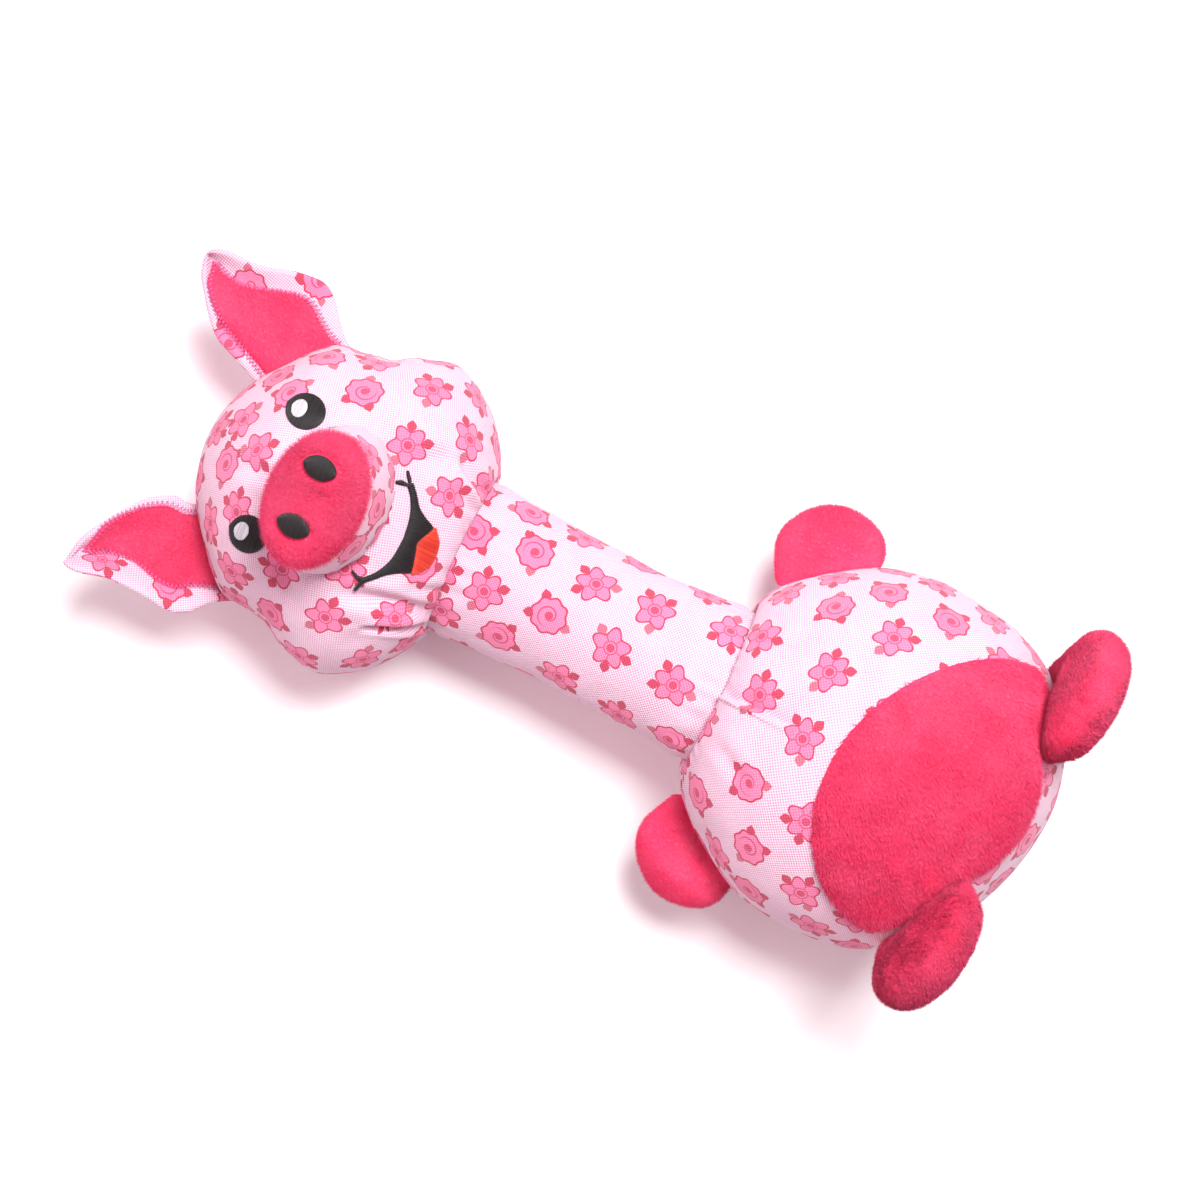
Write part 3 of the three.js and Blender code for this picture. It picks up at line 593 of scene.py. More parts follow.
def dome_map(form, side):
    """Unrolls one cover of a stuffed end from its highest or lowest point, in millimetres."""
    def place(points):
        local = (points - form.place) / (form.half * np.array([1.0, 1.0, dome_height]))
        direction = unit(local)
        slant = np.arccos(np.clip(side * direction[:, 2], -1, 1))
        flat = unit(direction[:, :2]) * slant[:, None]
        return flat * form.half * dome_unrolled / mm + np.array([dome_shift[0], dome_shift[1] * side])
    return place


def tube_map(start, radius):
    def place(points):
        angle = np.arctan2(points[:, 1] - head_at[1] / 2, points[:, 2] - (head_at[2] + body_at[2]) / 2)
        return np.stack([(points[:, 0] - start) / mm, angle * radius / mm], -1)
    return place


def print_cloth(obj, flatten, seed, turned=0.0, shift=(0.0, 0.0)):
    """Gives a cover its cloth map and its scatter of blossoms."""
    mesh = obj.data
    points, normals = coordinates(mesh), read(mesh.vertices, "normal", 3)
    cosine, sine = math.cos(turned), math.sin(turned)
    flat = flatten(points) @ np.array([[cosine, sine], [-sine, cosine]]) + np.array(shift)
    corners = corner_vertices(mesh)
    write_map(mesh, "cloth", flat[corners])

    random = np.random.default_rng(seed)
    pitch = np.array([print_pitch, row_pitch])
    first, last = (flat.min(0) // pitch).astype(int) - 1, (flat.max(0) // pitch).astype(int) + 2
    cloth_points = nearest_of(np.pad(flat, ((0, 0), (0, 1))))
    centres, frames, kinds = [], [], []
    for row, column in product(range(first[1], last[1]), range(first[0], last[0])):
        jitter = random.uniform(-print_jitter, print_jitter, 2)
        angle, kind, tone = random.uniform(0, 1, 3)
        spot = np.array([column + row % 2 / 2, row]) * pitch + jitter
        _, vertex, distance = cloth_points.find((*spot, 0))
        if distance > print_margin:
            continue
        normal = unit(normals[vertex].astype(float))
        along = unit(np.cross(normal, (0.3, 0.9, 0.2)))
        across = np.cross(normal, along)
        cosine, sine = math.cos(2 * math.pi * angle), math.sin(2 * math.pi * angle)
        frames.append([along * cosine + across * sine, across * cosine - along * sine])
        centres.append(points[vertex])
        kinds.append((kind, tone))
    centres, frames, kinds = np.array(centres), np.array(frames), np.array(kinds)
    blossoms = nearest_of(centres)
    owner = np.empty(len(corners), np.int32)
    for polygon in mesh.polygons:
        begin = polygon.loop_start
        owner[begin:begin + polygon.loop_total] = blossoms.find(polygon.center)[1]
    offset = points[corners] - centres[owner]
    plane = np.einsum("nij,nj->ni", frames[owner], offset)
    length = np.linalg.norm(plane, axis=1, keepdims=True)
    stretch = np.linalg.norm(offset, axis=1, keepdims=True) / np.maximum(length, 1e-9)
    write_map(mesh, "motif", plane * np.minimum(stretch, most_stretched) / mm)
    write_map(mesh, "kind", kinds[owner])
    measured["covers"] += 1
    measured["blossoms"] += len(centres)


# %% [markdown]
# ## Swelling the covers
# A stuffed cover isn't a perfect dome: it is drawn in at its seams and gathers where the neck is sewn in. So
# a coarse copy of each end is blown up as cloth, held at its seams, and the movement is passed on to the fine
# covers. The cloth is a little too large for its end, which makes it swell unevenly.

# %% Cloth simulation
cell = 4 * mm
most_moved = 3.2 * mm
start_size = 0.985
seam_hold, mouth_hold = 2.4 * mm, 3 * mm
cloth_frames = 20
neighbours, neighbour_reach = 6, 1.7 * cell
cloth_settings = {
    "quality": 5, "mass": 0.2, "tension_stiffness": 25, "compression_stiffness": 18, "bending_stiffness": 0.4,
    "use_pressure": True, "uniform_pressure_force": 4.0, "vertex_group_mass": "pins", "shrink_min": -0.01,
}


def applied(obj):
    """The mesh that an object's modifiers make."""
    depsgraph = bpy.context.evaluated_depsgraph_get()
    return bpy.data.meshes.new_from_object(obj.evaluated_get(depsgraph), depsgraph=depsgraph)


def swell(form, name):
    """Returns where points of a coarse copy of this end lie, and how far the cloth moved them."""
    arounds = full_turn(64)
    turn = np.linspace(0, 1, 40)[:, None] * form.opening(arounds, neck_radius)
    grid = form.raw(turn, np.broadcast_to(arounds, turn.shape))
    grid = form.place + (grid - form.place) * start_size
    grid = np.concatenate([grid, np.broadcast_to(grid[-1].mean(0), (1, *grid.shape[1:]))])
    points, faces, _ = weld(grid.reshape(-1, 3), grid_faces(len(grid), len(arounds), wrap=True))
    made = add_object(name, points, faces, canvas_cloth)
    bpy.context.view_layer.objects.active = made
    remesh = made.modifiers.new("cells", "REMESH")
    remesh.mode = "VOXEL"
    remesh.voxel_size = cell
    mesh = applied(made)
    made.modifiers.clear()
    made.data = mesh
    before = coordinates(mesh)
    local = before - form.place
    mouth = form.pole * local[:, 0] < form.pole * (grid[-2].mean(0) - form.place)[0] + mouth_hold
    seam = (np.abs(local[:, 2]) < seam_hold) | mouth
    pins = made.vertex_groups.new(name="pins")
    pins.add([int(i) for i in np.flatnonzero(seam)], 1.0, "REPLACE")
    cloth = made.modifiers.new("cloth", "CLOTH")
    for setting, value in cloth_settings.items():
        setattr(cloth.settings, setting, value)
    cloth.settings.effector_weights.gravity = 0
    cloth.collision_settings.use_collision = False
    for step in range(cloth_frames):
        bpy.context.scene.frame_set(step + 1)
    move = coordinates(made.evaluated_get(bpy.context.evaluated_depsgraph_get()).data) - before
    bpy.context.scene.frame_set(1)
    length = np.linalg.norm(move, axis=1, keepdims=True)
    bpy.data.objects.remove(made)
    print(name, "cells", len(before), "most moved", length.max().round(4))
    return before, move * np.minimum(1, most_moved / np.maximum(length, 1e-9))


def passed_on(points, simulated):
    """The movement of the nearest coarse points, for each fine point."""
    if simulated is None:
        return np.zeros_like(points)
    before, move = simulated
    coarse = nearest_of(before)
    moved = np.empty_like(points)
    for i, point in enumerate(points):
        found = coarse.find_n(point, neighbours)
        near = np.array([max(neighbour_reach - f[2], 1e-5) for f in found]) ** 2
        moved[i] = near @ move[[f[1] for f in found]] / near.sum()
    return moved


head_swell = swell(head, "head_swelling")
body_swell = swell(body, "body_swelling")

# %% [markdown]
# ## The covers of the head and the body
# Each end has a front and a back cover, sewn together along its sides. At a seam both turn in, which leaves a
# narrow valley. Folds that the photograph shows are listed and pressed in: each is a soft groove between two
# places in plan, with the cloth standing up a little on both sides. A tuck has a fifth number, the width of
# the sharp lip that covers its right side.

# %% Covers
cover_wall = 1.0 * mm
seam_depth, neck_depth = 1.5 * mm, 1.0 * mm
seam_reach = 1.9 * mm
gather_height, pucker_height = 0.25 * mm, 0.22 * mm
lump_size, lump_height = 17 * mm, 0.5 * mm
fold_shoulder, tuck_shoulder = (0.45, 1.7), (0.5, 2.2)
floor_gap = 0.05 * mm
cover_rows, cover_columns = 150, 230


def fold_relief(points, folds):
    """How far the folds move each point outwards."""
    relief = np.zeros(len(points))
    for (x0, y0), (x1, y1), depth, width, *lip in folds:
        start, end = np.array([x0, y0]) * mm, np.array([x1, y1]) * mm
        along = end - start
        share = np.clip(((points[:, :2] - start) @ along) / (along @ along), 0, 1)
        away = np.linalg.norm(points[:, :2] - start - share[:, None] * along, axis=1) / (width * mm)
        taper = np.sin(math.pi * np.clip(share * 0.9 + 0.05, 0, 1)) ** 0.7
        groove = fold_shoulder[0] * bell(away, 1, fold_shoulder[1]) - bell(away, 1)
        if lip:
            near = away * width / lip[0]
            over = np.cross(along, points[:, :2] - start) < 0
            lip_groove = tuck_shoulder[0] * bell(near, 1, tuck_shoulder[1]) - bell(near, 1)
            groove = np.where(over, lip_groove, -np.exp(-away))
        relief += depth * mm * taper * groove
    return relief


def lumps(points, size, depth):
    """The slow unevenness of stuffing."""
    return np.array([noise.noise(Vector(point / size)) for point in points]) * depth


def thicken(obj):
    """Gives a cover the thickness of its cloth, inwards."""
    solidify = obj.modifiers.new("wall", "SOLIDIFY")
    solidify.thickness = cover_wall
    solidify.offset = -1
    solidify.use_even_offset = False


def cover(name, form, side, folds, simulated, seed, turned):
    """The front or back cover of an end, stuffed, folded and printed. A back cover sits flat on the floor."""
    around = side * np.linspace(0, math.pi, cover_columns)
    end = form.opening(around, neck_radius + seam_gap)
    turn = np.linspace(0, 1, cover_rows)[:, None] ** 0.9 * end[None, :]
    around = np.broadcast_to(around, turn.shape)
    surface = form.raw(turn, around).reshape(-1, 3)
    outward = form.normal(turn, around).reshape(-1, 3)
    local = surface - form.place
    slope = np.maximum(np.abs(outward[:, 2]), 0.12)
    from_seam = np.abs(local[:, 2]) / np.sqrt(np.maximum(1 - slope**2, 0.05))
    from_neck = (end[None, :] - turn).ravel() * form.half
    seam = bell(from_seam, seam_reach)
    neck_seam = bell(from_neck, 2.2 * mm)
    gathers = ripple(around.ravel(), 34, 5) * bell(from_neck, 3 * mm, 3 * mm) * gather_height
    puckers = np.sin(local[:, 0] / (2.4 * mm) + 1.5 * np.sin(local[:, 0] / (9 * mm)))
    puckers = puckers * bell(from_seam, 3.2 * mm, 3.4 * mm) * pucker_height
    lift = fold_relief(surface, folds) + lumps(surface, lump_size, lump_height) + gathers + puckers
    lift = lift * (1 - seam) * (1 - neck_seam) - seam_depth * seam - neck_depth * neck_seam
    moved = passed_on(surface, simulated) * ((1 - seam) * (1 - neck_seam))[:, None]
    points = surface + moved + outward * lift[:, None] + np.array([0, 0, side * seam_gap])
    if side < 0:
        points[:, 2] = np.maximum(points[:, 2], floor_gap)
    points, faces, _ = weld(points, grid_faces(cover_rows, cover_columns))
    made = add_object(name, points, faces, canvas_cloth)
    print_cloth(made, dome_map(form, side), seed, turned)
    thicken(made)
    return made


hinges = {joint["child"]: joint for joint in frame["joints"]}


def sewn(obj, body_name, slot, *nodes, fill=None, away=None):
    """Attaches a finished piece to the body it rides on and hides the nodes it stands for.

    With away, the direction in which it leaves its seam, the piece's place is baked into its mesh instead, and
    it is attached to nothing.
    """
    if away is None:
        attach(obj, body_name)
    else:
        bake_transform(obj)
    if nodes:
        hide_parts(*nodes)
    return obj


hx, hy = head_at[:2] / mm
bx, by = body_at[:2] / mm
face_folds = [
    ((hx + 47, hy - 25), (hx + 29, hy - 35), 2.8, 1.2),
    ((hx + 47, hy - 20), (hx + 19, hy - 27), 3.0, 2.8),
    ((hx + 50, hy - 12), (hx + 34, hy - 18), 1.3, 2.0),
    ((hx + 45, hy + 21), (hx + 35, hy + 28), 2.6, 1.8),
    ((hx + 34, hy + 27), (hx + 18, hy + 21), 1.6, 3.2),
    ((hx + 48, hy + 14), (hx + 38, hy + 18), 1.4, 1.8),
    ((hx - 14, hy - 2), (hx - 27, hy - 5), 1.6, 2.6),
    ((hx - 2, hy - 27), (hx + 6, hy - 38), 1.1, 2.8),
]
nape_folds = [
    ((hx + 47, hy - 10), (hx + 26, hy - 26), 1.4, 2.6),
    ((hx + 47, hy + 10), (hx + 26, hy + 24), 1.4, 2.6),
]
belly_folds = [
    ((bx - 64, by - 1.5), (bx - 36, by - 1.3), 3.6, 3.4, 0.6),
    ((bx - 55, by - 16), (bx - 40, by - 24), 0.8, 2.6),
    ((bx - 54, by + 18), (bx - 40, by + 26), 0.8, 2.6),
]
back_folds = [
    ((bx - 57, by - 12), (bx - 40, by - 16), 0.9, 2.4),
    ((bx - 57, by + 12), (bx - 40, by + 16), 0.9, 2.4),
]
face = cover("head_face_cover", head, 1, face_folds, head_swell, seed=11, turned=0.5)
nape = cover("head_nape_cover", head, -1, nape_folds, head_swell, seed=12, turned=-0.3)
belly = cover("body_belly_cover", body, 1, belly_folds, body_swell, seed=13, turned=0.2)
back = cover("body_back_cover", body, -1, back_folds, body_swell, seed=14, turned=0.7)

# %% [markdown]
# ## The neck
# The neck is one strip, closed by a seam along its back. It enters both ends and is drawn in a little there
# by the thread.

# %% Neck
neck_rows, neck_columns = 120, 132
neck_drawn, neck_valley, neck_wave = 0.9 * mm, 1.2 * mm, 0.4 * mm
neck_lump_size, neck_lump_height = 19 * mm, 0.8 * mm
neck_low, neck_high = (np.array(corner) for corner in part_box("neck_tube"))
neck_start, neck_end = neck_low[0], neck_high[0]
neck_length = neck_end - neck_start - 2 * neck_inset


def neck_surface():
    share = np.linspace(0, 1, neck_rows)
    angle = full_turn(neck_columns) - math.pi / 2
    x = neck_start + share * (neck_end - neck_start)
    free = np.clip((x - neck_start - neck_inset) / neck_length, 0, 1)
    settled = smooth(0, 1, free)[:, None]
    centre = head_at * (1 - settled) + body_at * settled
    radius = neck_radius + (neck_waist - neck_radius) * np.sin(free * math.pi) ** 0.8
    to_end = np.minimum(x - neck_start, neck_end - x) - neck_inset
    drawn = np.where(to_end < 0, 1, bell(to_end, 2.4 * mm)) * neck_drawn
    from_seam = np.abs((angle + math.pi / 2 + math.pi) % (2 * math.pi) - math.pi) * neck_waist
    valley = bell(from_seam, 1.6 * mm) * neck_valley
    wave = ripple(angle, 23, 4) * neck_wave * bell(to_end, 4 * mm, 4 * mm)[:, None]
    r = (radius - drawn)[:, None] - valley + wave
    points = np.empty((neck_rows, neck_columns, 3))
    points[..., 0] = x[:, None]
    points[..., 1:] = centre[:, None, 1:] + r[..., None] * spin(angle)
    flat = points.reshape(-1, 3)
    outward = np.zeros_like(points)
    outward[..., 1:] = spin(angle)
    lumpy = np.repeat(smooth(0, 8 * mm, to_end), neck_columns)
    bulge = lumps(flat, neck_lump_size, neck_lump_height) * lumpy
    return flat + outward.reshape(-1, 3) * bulge[:, None]


neck = add_object("neck_cover", neck_surface(), grid_faces(neck_rows, neck_columns, True), canvas_cloth)
print_cloth(neck, tube_map(neck_start, neck_waist), 15, shift=(4.0, 6.0))
thicken(neck)

# %% [markdown]
# ## Finding the surface
# Everything sewn on the toy follows the covers as they are now, folds and all. A ray from above finds the
# cover under a place in plan.

# %% Surfaces
class Surface:
    """A finished cover that other pieces are laid on."""

    def __init__(self, *objects):
        points, faces, count = [], [], 0
        for obj in objects:
            points.extend(v.co.copy() for v in obj.data.vertices)
            faces.extend([count + v for v in p.vertices] for p in obj.data.polygons)
            count = len(points)
        self.tree = BVHTree.FromPolygons(points, faces)

    def over(self, x, y, lift):
        """The points of the cover above places in plan, lifted along its normal."""
        found = []
        for px, py in zip(np.ravel(x), np.ravel(y)):
            spot, normal, _, _ = self.tree.ray_cast(Vector((px, py, 1.0)), Vector((0, 0, -1)))
            if spot is None:
                spot, normal, _, _ = self.tree.find_nearest(Vector((px, py, head_at[2])))
            normal = normal if normal.z > 0 else -normal
            found.append(spot + normal * lift)
        return np.array(found).reshape(*np.shape(x), 3)

    def along(self, origin, direction):
        spot = self.tree.ray_cast(Vector(origin), Vector(direction))[0]
        return None if spot is None else np.array(spot)


face_surface = Surface(face)
body_surface = Surface(belly, back)

# %% [markdown]
# ## Thread with Geometry Nodes
# Every stitch is a tube round a line. The tree takes a mesh of bare edges, turns it into curves and sweeps a
# small circle along them.

# %% Thread tree
thread_sides = 5


def geometry_tree(name, inputs):
    """A geometry tree with named inputs, and each input as a field."""
    group = bpy.data.node_groups.new(name, "GeometryNodeTree")
    group.is_modifier = True
    group.interface.new_socket("Geometry", in_out="INPUT", socket_type="NodeSocketGeometry")
    group.interface.new_socket("Geometry", in_out="OUTPUT", socket_type="NodeSocketGeometry")
    for label, kind in inputs.items():
        group.interface.new_socket(label, in_out="INPUT", socket_type=kind)
    tree = Tree(group)
    entry = tree.node("NodeGroupInput")
    return tree, {socket.name: Field(tree, socket) for socket in entry.outputs if socket.name}


def close_tree(tree, shape, material):
    """Ends a geometry tree: real geometry, smooth, with its material."""
    real = tree.field("GeometryNodeRealizeInstances", values={"Geometry": shape})
    even = tree.field("GeometryNodeSetShadeSmooth", values={"Geometry": real})
    done = tree.field("GeometryNodeSetMaterial", values={"Geometry": even, "Material": material})
    tree.node("NodeGroupOutput", values={"Geometry": done})
    return tree.tree


def grown(obj, group, **values):
    """Runs a geometry tree on an object and keeps the result as its plain mesh."""
    modifier = obj.modifiers.new(group.name, "NODES")
    modifier.node_group = group
    for item in group.interface.items_tree:
        if item.in_out == "INPUT" and item.name in values:
            modifier[item.identifier] = values[item.name]
    mesh = applied(obj)
    obj.modifiers.clear()
    obj.data = mesh
    return obj


def make_thread_tree():
    tree, given = geometry_tree("thread", {"Thickness": "NodeSocketFloat", "Material": "NodeSocketMaterial"})
    line = tree.field("GeometryNodeMeshToCurve", values={"Mesh": given["Geometry"]})
    ring = tree.field("GeometryNodeCurvePrimitiveCircle", values={
        "Resolution": thread_sides, "Radius": given["Thickness"] * 0.5})
    tube = tree.field("GeometryNodeCurveToMesh", values={
        "Curve": line, "Profile Curve": ring, "Fill Caps": True})
    return close_tree(tree, tube, given["Material"])


thread_tree = make_thread_tree()


def threads(name, lines, thickness, material):
    """One object of thread along each line of points. Each thread has its own tone."""
    mesh = bpy.data.meshes.new(name)
    random = np.random.default_rng(len(lines))
    points, edges, tones = [], [], []
    for line in lines:
        start = len(points)
        points.extend(np.asarray(line).tolist())
        edges.extend((start + i, start + i + 1) for i in range(len(line) - 1))
        tones.extend([random.uniform(0, 1)] * len(line))
    mesh.from_pydata(points, edges, [])
    store(mesh, "tone", tones)
    return grown(placed(name, mesh), thread_tree, Thickness=thickness, Material=material)


def joined(target, *others):
    """Joins other objects into the first one."""
    bpy.ops.object.select_all(action="DESELECT")
    for obj in (target, *others):
        obj.select_set(True)
    bpy.context.view_layer.objects.active = target
    bpy.ops.object.join()
    return target


# %% [markdown]
# ## Pile with Geometry Nodes
# A tuft is a slim spike of four faces. The tree scatters spikes over a plush base, leans each along the lay
# of the pile with a little disorder, and stores how far up the tuft each point lies. A tuft then gets its own
# spot in the plush's flat map, next to its root. Real pile is soft because light passes from hair to hair.
# Spikes that shade as flat spikes look like dry grass, so each tuft is shaded mostly with the normal of its
# ground.

# %% Pile tree
disorder = 0.35
swirl_scale, swirl_share = 110.0, 0.8
shortest, longest = 0.6, 1.1


def make_pile_tree():
    inputs = dict.fromkeys(("Density", "Length", "Thickness", "Lean"), "NodeSocketFloat")
    inputs.update(Seed="NodeSocketInt", Material="NodeSocketMaterial")
    tree, given = geometry_tree("pile", inputs)

    def between(kind, low, high, seed, output):
        values = {output * 2: low, output * 2 + 1: high, 8: seed}
        return tree.field("FunctionNodeRandomValue", {"data_type": kind}, values, output)

    def vector_math(operation, *values):
        return tree.field("ShaderNodeVectorMath", {"operation": operation}, dict(enumerate(values)))

    def scaled(vector, amount):
        return tree.field("ShaderNodeVectorMath", {"operation": "SCALE"}, {0: vector, "Scale": amount})

    def named(name, kind):
        return tree.field("GeometryNodeInputNamedAttribute", {"data_type": kind}, {"Name": name})

    def stored(geometry, name, kind, value):
        settings = {"data_type": kind, "domain": "POINT"}
        values = {"Geometry": geometry, "Name": name, "Value": value}
        return tree.field("GeometryNodeStoreNamedAttribute", settings, values)

    density = given["Density"] * named("thin", "FLOAT")
    scatter = tree.node("GeometryNodeDistributePointsOnFaces", values={
        "Mesh": given["Geometry"], "Density": density, "Seed": given["Seed"]})
    roots, normal = (Field(tree, scatter.outputs[i]) for i in (0, 1))
    roots = stored(roots, "ground", "FLOAT_VECTOR", normal)
    loose = between("FLOAT_VECTOR", (-1, -1, -1), (1, 1, 1), 5, 0)
    place = tree.field("GeometryNodeInputPosition")
    swirl = tree.field(
        "ShaderNodeTexNoise", values={"Vector": place, "Scale": swirl_scale, "Detail": 1.0}, output=1)
    swirl = vector_math("SUBTRACT", swirl, (0.5, 0.5, 0.5))
    lean = vector_math("ADD", scaled(named("lay", "FLOAT_VECTOR"), given["Lean"]), scaled(loose, disorder))
    lean = vector_math("ADD", lean, scaled(swirl, given["Lean"] * swirl_share))
    direction = vector_math("NORMALIZE", vector_math("ADD", normal, lean))
    aim_at = tree.field("FunctionNodeAlignRotationToVector", {"axis": "Z"}, {"Vector": direction})
    roots = stored(roots, "tone", "FLOAT", between("FLOAT", 0.0, 1.0, 7, 1))
    spike = tree.field("GeometryNodeMeshCone", values={
        "Vertices": 3, "Side Segments": 1, "Radius Top": 0.0,
        "Radius Bottom": given["Thickness"] * 0.5, "Depth": given["Length"]})
    spike = stored(spike, "pile", "FLOAT", tree.split(place)[2] / given["Length"])
    tufts = tree.field("GeometryNodeInstanceOnPoints", values={
        "Points": roots, "Instance": spike, "Rotation": aim_at,
        "Scale": between("FLOAT", shortest, longest, 9, 1)})
    real = tree.field("GeometryNodeRealizeInstances", values={"Geometry": tufts})
    join = tree.node("GeometryNodeJoinGeometry")
    for part in (real, given["Geometry"]):
        tree.tree.links.new(part.socket, join.inputs[0])
    return close_tree(tree, Field(tree, join.outputs[0]), given["Material"])


pile_tree = make_pile_tree()
pile_density = 16e6
hair_share = 0.25
even_share = 0.4
spot_length, spot_width = 0.9, 0.12
measured["tufts"] = 0


def grow_pile(obj, lay, flatten, length, lean, seed, thickness=0.28 * mm, thin=1.0):
    """Covers a plush base with tufts that lie along lay, and that are fewer where thin is below 1."""
    mesh = obj.data
    base = len(mesh.vertices)
    store(mesh, "lay", np.broadcast_to(lay, (base, 3)), "FLOAT_VECTOR", "vector")
    on_top = mesh.attributes["thin"].data
    on_top.foreach_set("value", (read(on_top, "value") * thin).astype(np.float32))
    write_map(mesh, "cloth", flatten(coordinates(mesh))[corner_vertices(mesh)])
    grown(
        obj, pile_tree, Density=pile_density, Length=length, Thickness=thickness, Lean=lean, Seed=seed,
        Material=plush_pile)
    mesh = obj.data
    corners = corner_vertices(mesh)
    up = read(mesh.attributes["pile"].data, "value")[corners]
    aside = (corners % 4 - 1.5) * spot_width
    spread = np.stack([up * spot_length, aside * (up < 0.5)], -1)
    spread = read(mesh.uv_layers["cloth"].uv, "vector", 2) + spread
    low, high = spread.min(0), spread.max(0)
    write_map(mesh, "OFBake", (spread - low) / (high - low).max())
    own, ground = read(mesh.vertices, "normal", 3), read(mesh.attributes["ground"].data, "vector", 3)
    evened = ground + np.array([0, 0, even_share]) * (1 + ground[:, 2:])
    mesh.normals_split_custom_set_from_vertices(unit(own * hair_share + evened).tolist())
    tufts = (len(mesh.vertices) - base) // 4
    measured["tufts"] += tufts
    print(obj.name, "tufts", tufts)


# %% [markdown]
# ## Snout and nose
# The snout is a short oval wall of canvas on the face, and the nose a disc of longer pile sewn on its end.
# The nostrils are satin stitch, laid on the pile.

# %% Snout
snout_base = np.array([35.0, 48.0]) * mm
snout_top = np.array([31.0, 44.0]) * mm
snout_height = 23 * mm
snout_lean = math.radians(7)
snout_side_lean = math.radians(5)
snout_rows, snout_columns = 34, 120
snout_bulge, snout_wave, snout_crease = 1.2 * mm, 0.35 * mm, 0.8 * mm
crease_angle = 4.2
band_radius = 21.0
pad_inset = 1.2 * mm
snout_offset = 4.3 * mm
face_drift = -1.3 * mm
pad_edge = 2.2 * mm
pad_rise = 2.4 * mm

snout_foot = face_surface.over(head_at[:1] + snout_offset, head_at[1:2] + face_drift, 0.0)[0]
side_sine, side_cosine = math.sin(snout_side_lean), math.cos(snout_side_lean)
snout_across = np.array([0, side_cosine, side_sine])
snout_along = np.array([
    math.cos(snout_lean), -math.sin(snout_lean) * side_sine, math.sin(snout_lean) * side_cosine])
snout_up = np.cross(snout_along, snout_across)


def on_snout(a, b, c):
    """A point by its place along, across and up the snout."""
    return snout_foot + a[..., None] * snout_along + b[..., None] * snout_across + c[..., None] * snout_up


def snout_wall():
    angle = full_turn(snout_columns)
    low, high = spin(angle) / 2 * snout_base, spin(angle) / 2 * snout_top
    starts = on_snout(*low.T, np.full(snout_columns, 60 * mm))
    hits = np.array([face_surface.along(start, -snout_up) for start in starts])
    foot = (hits - snout_foot) @ snout_up - 0.3 * mm
    points = []
    for share in np.linspace(0, 1, snout_rows):
        at = low + (high - low) * share
        rise = foot + (snout_height - foot) * share
        drawn = bell(share, 0.07) * 1.3 * mm + bell(share, 0.06, 1) * 0.8 * mm
        bulge = snout_bulge * math.sin(share * math.pi) ** 0.8 - drawn
        wave = snout_wave * ripple(angle, 17, 3) * bell(share, 0.16, 0.2)
        crease = snout_crease * bell(angle, 0.12, crease_angle) * math.sin(share * math.pi)
        at = at * (1 + (bulge + wave - crease) / np.linalg.norm(at, axis=1))[:, None]
        points.append(on_snout(*at.T, rise))
    return np.array(points)


def band_map(points):
    local = points - snout_foot
    angle = np.arctan2(local[:, 1], local[:, 0])
    return np.stack([angle * band_radius, (local @ snout_up) / mm], -1)


wall = snout_wall()
snout = add_object("snout_cover", wall.reshape(-1, 3), grid_faces(*wall.shape[:2], True), canvas_cloth)
print_cloth(snout, band_map, 16, shift=(5.0, 2.0))
thicken(snout)


def pad_height(ring):
    return snout_height + 0.2 * mm + pad_edge * smooth(0, 0.16, 1 - ring) ** 0.6 + pad_rise * (1 - ring**3)


def nose_pad():
    rings = np.sin(np.linspace(0, 1, 26) * math.pi / 2)
    oval = spin(full_turn(96)) / 2 * (snout_top - 2 * pad_inset) * rings[:, None, None]
    ring = np.broadcast_to(rings[:, None], oval.shape[:2])
    top = on_snout(oval[..., 0], oval[..., 1], pad_height(ring))
    under = on_snout(oval[..., 0], oval[..., 1], np.full(ring.shape, snout_height + 0.1 * mm))
    return slab("nose_plush", top, under, plush_pile, wrap=True)


def plan_map(points):
    return points[:, :2] / mm


nostril_length, nostril_width = 11 * mm, 7.4 * mm
nostril_spacing, nostril_offset = 19.5 * mm, -1.5 * mm
nose = nose_pad()
from_foot = coordinates(nose.data) - snout_foot
outward = unit(from_foot * np.array([1.0, 1.0, 0]))
from_nostril = np.hypot(
    (from_foot @ snout_along - nostril_offset) / nostril_length,
    (np.abs(from_foot @ snout_across) - nostril_spacing / 2) / nostril_width)
grow_pile(
    nose, outward * 0.6 + np.array([0.4, -0.5, 0.0]), plan_map, 3.4 * mm, lean=1.2, seed=3,
    thickness=0.2 * mm, thin=2.2 * smooth(0.58, 0.68, from_nostril))

# %% [markdown]
# ## Embroidery
# Eyes, nostrils, mouth and tongue are satin stitch. A low pad of the same colour fills the ground, and
# threads cross it side by side from edge to edge, each one slightly raised in its middle.

# %% Satin stitch
stitch_pitch = 0.5 * mm
stitch_thickness = 0.54 * mm
stitch_jitter = 0.06 * mm
satin_ground = 0.35 * mm


def lengths_along(line):
    """How far along a line each of its points lies."""
    return np.append(0, np.cumsum(np.linalg.norm(np.diff(line, axis=0), axis=1)))


def sampled(values, length, at):
    """What stands at places along a line, from what stands at its points."""
    return np.stack([np.interp(at, length, column) for column in values.T], -1)


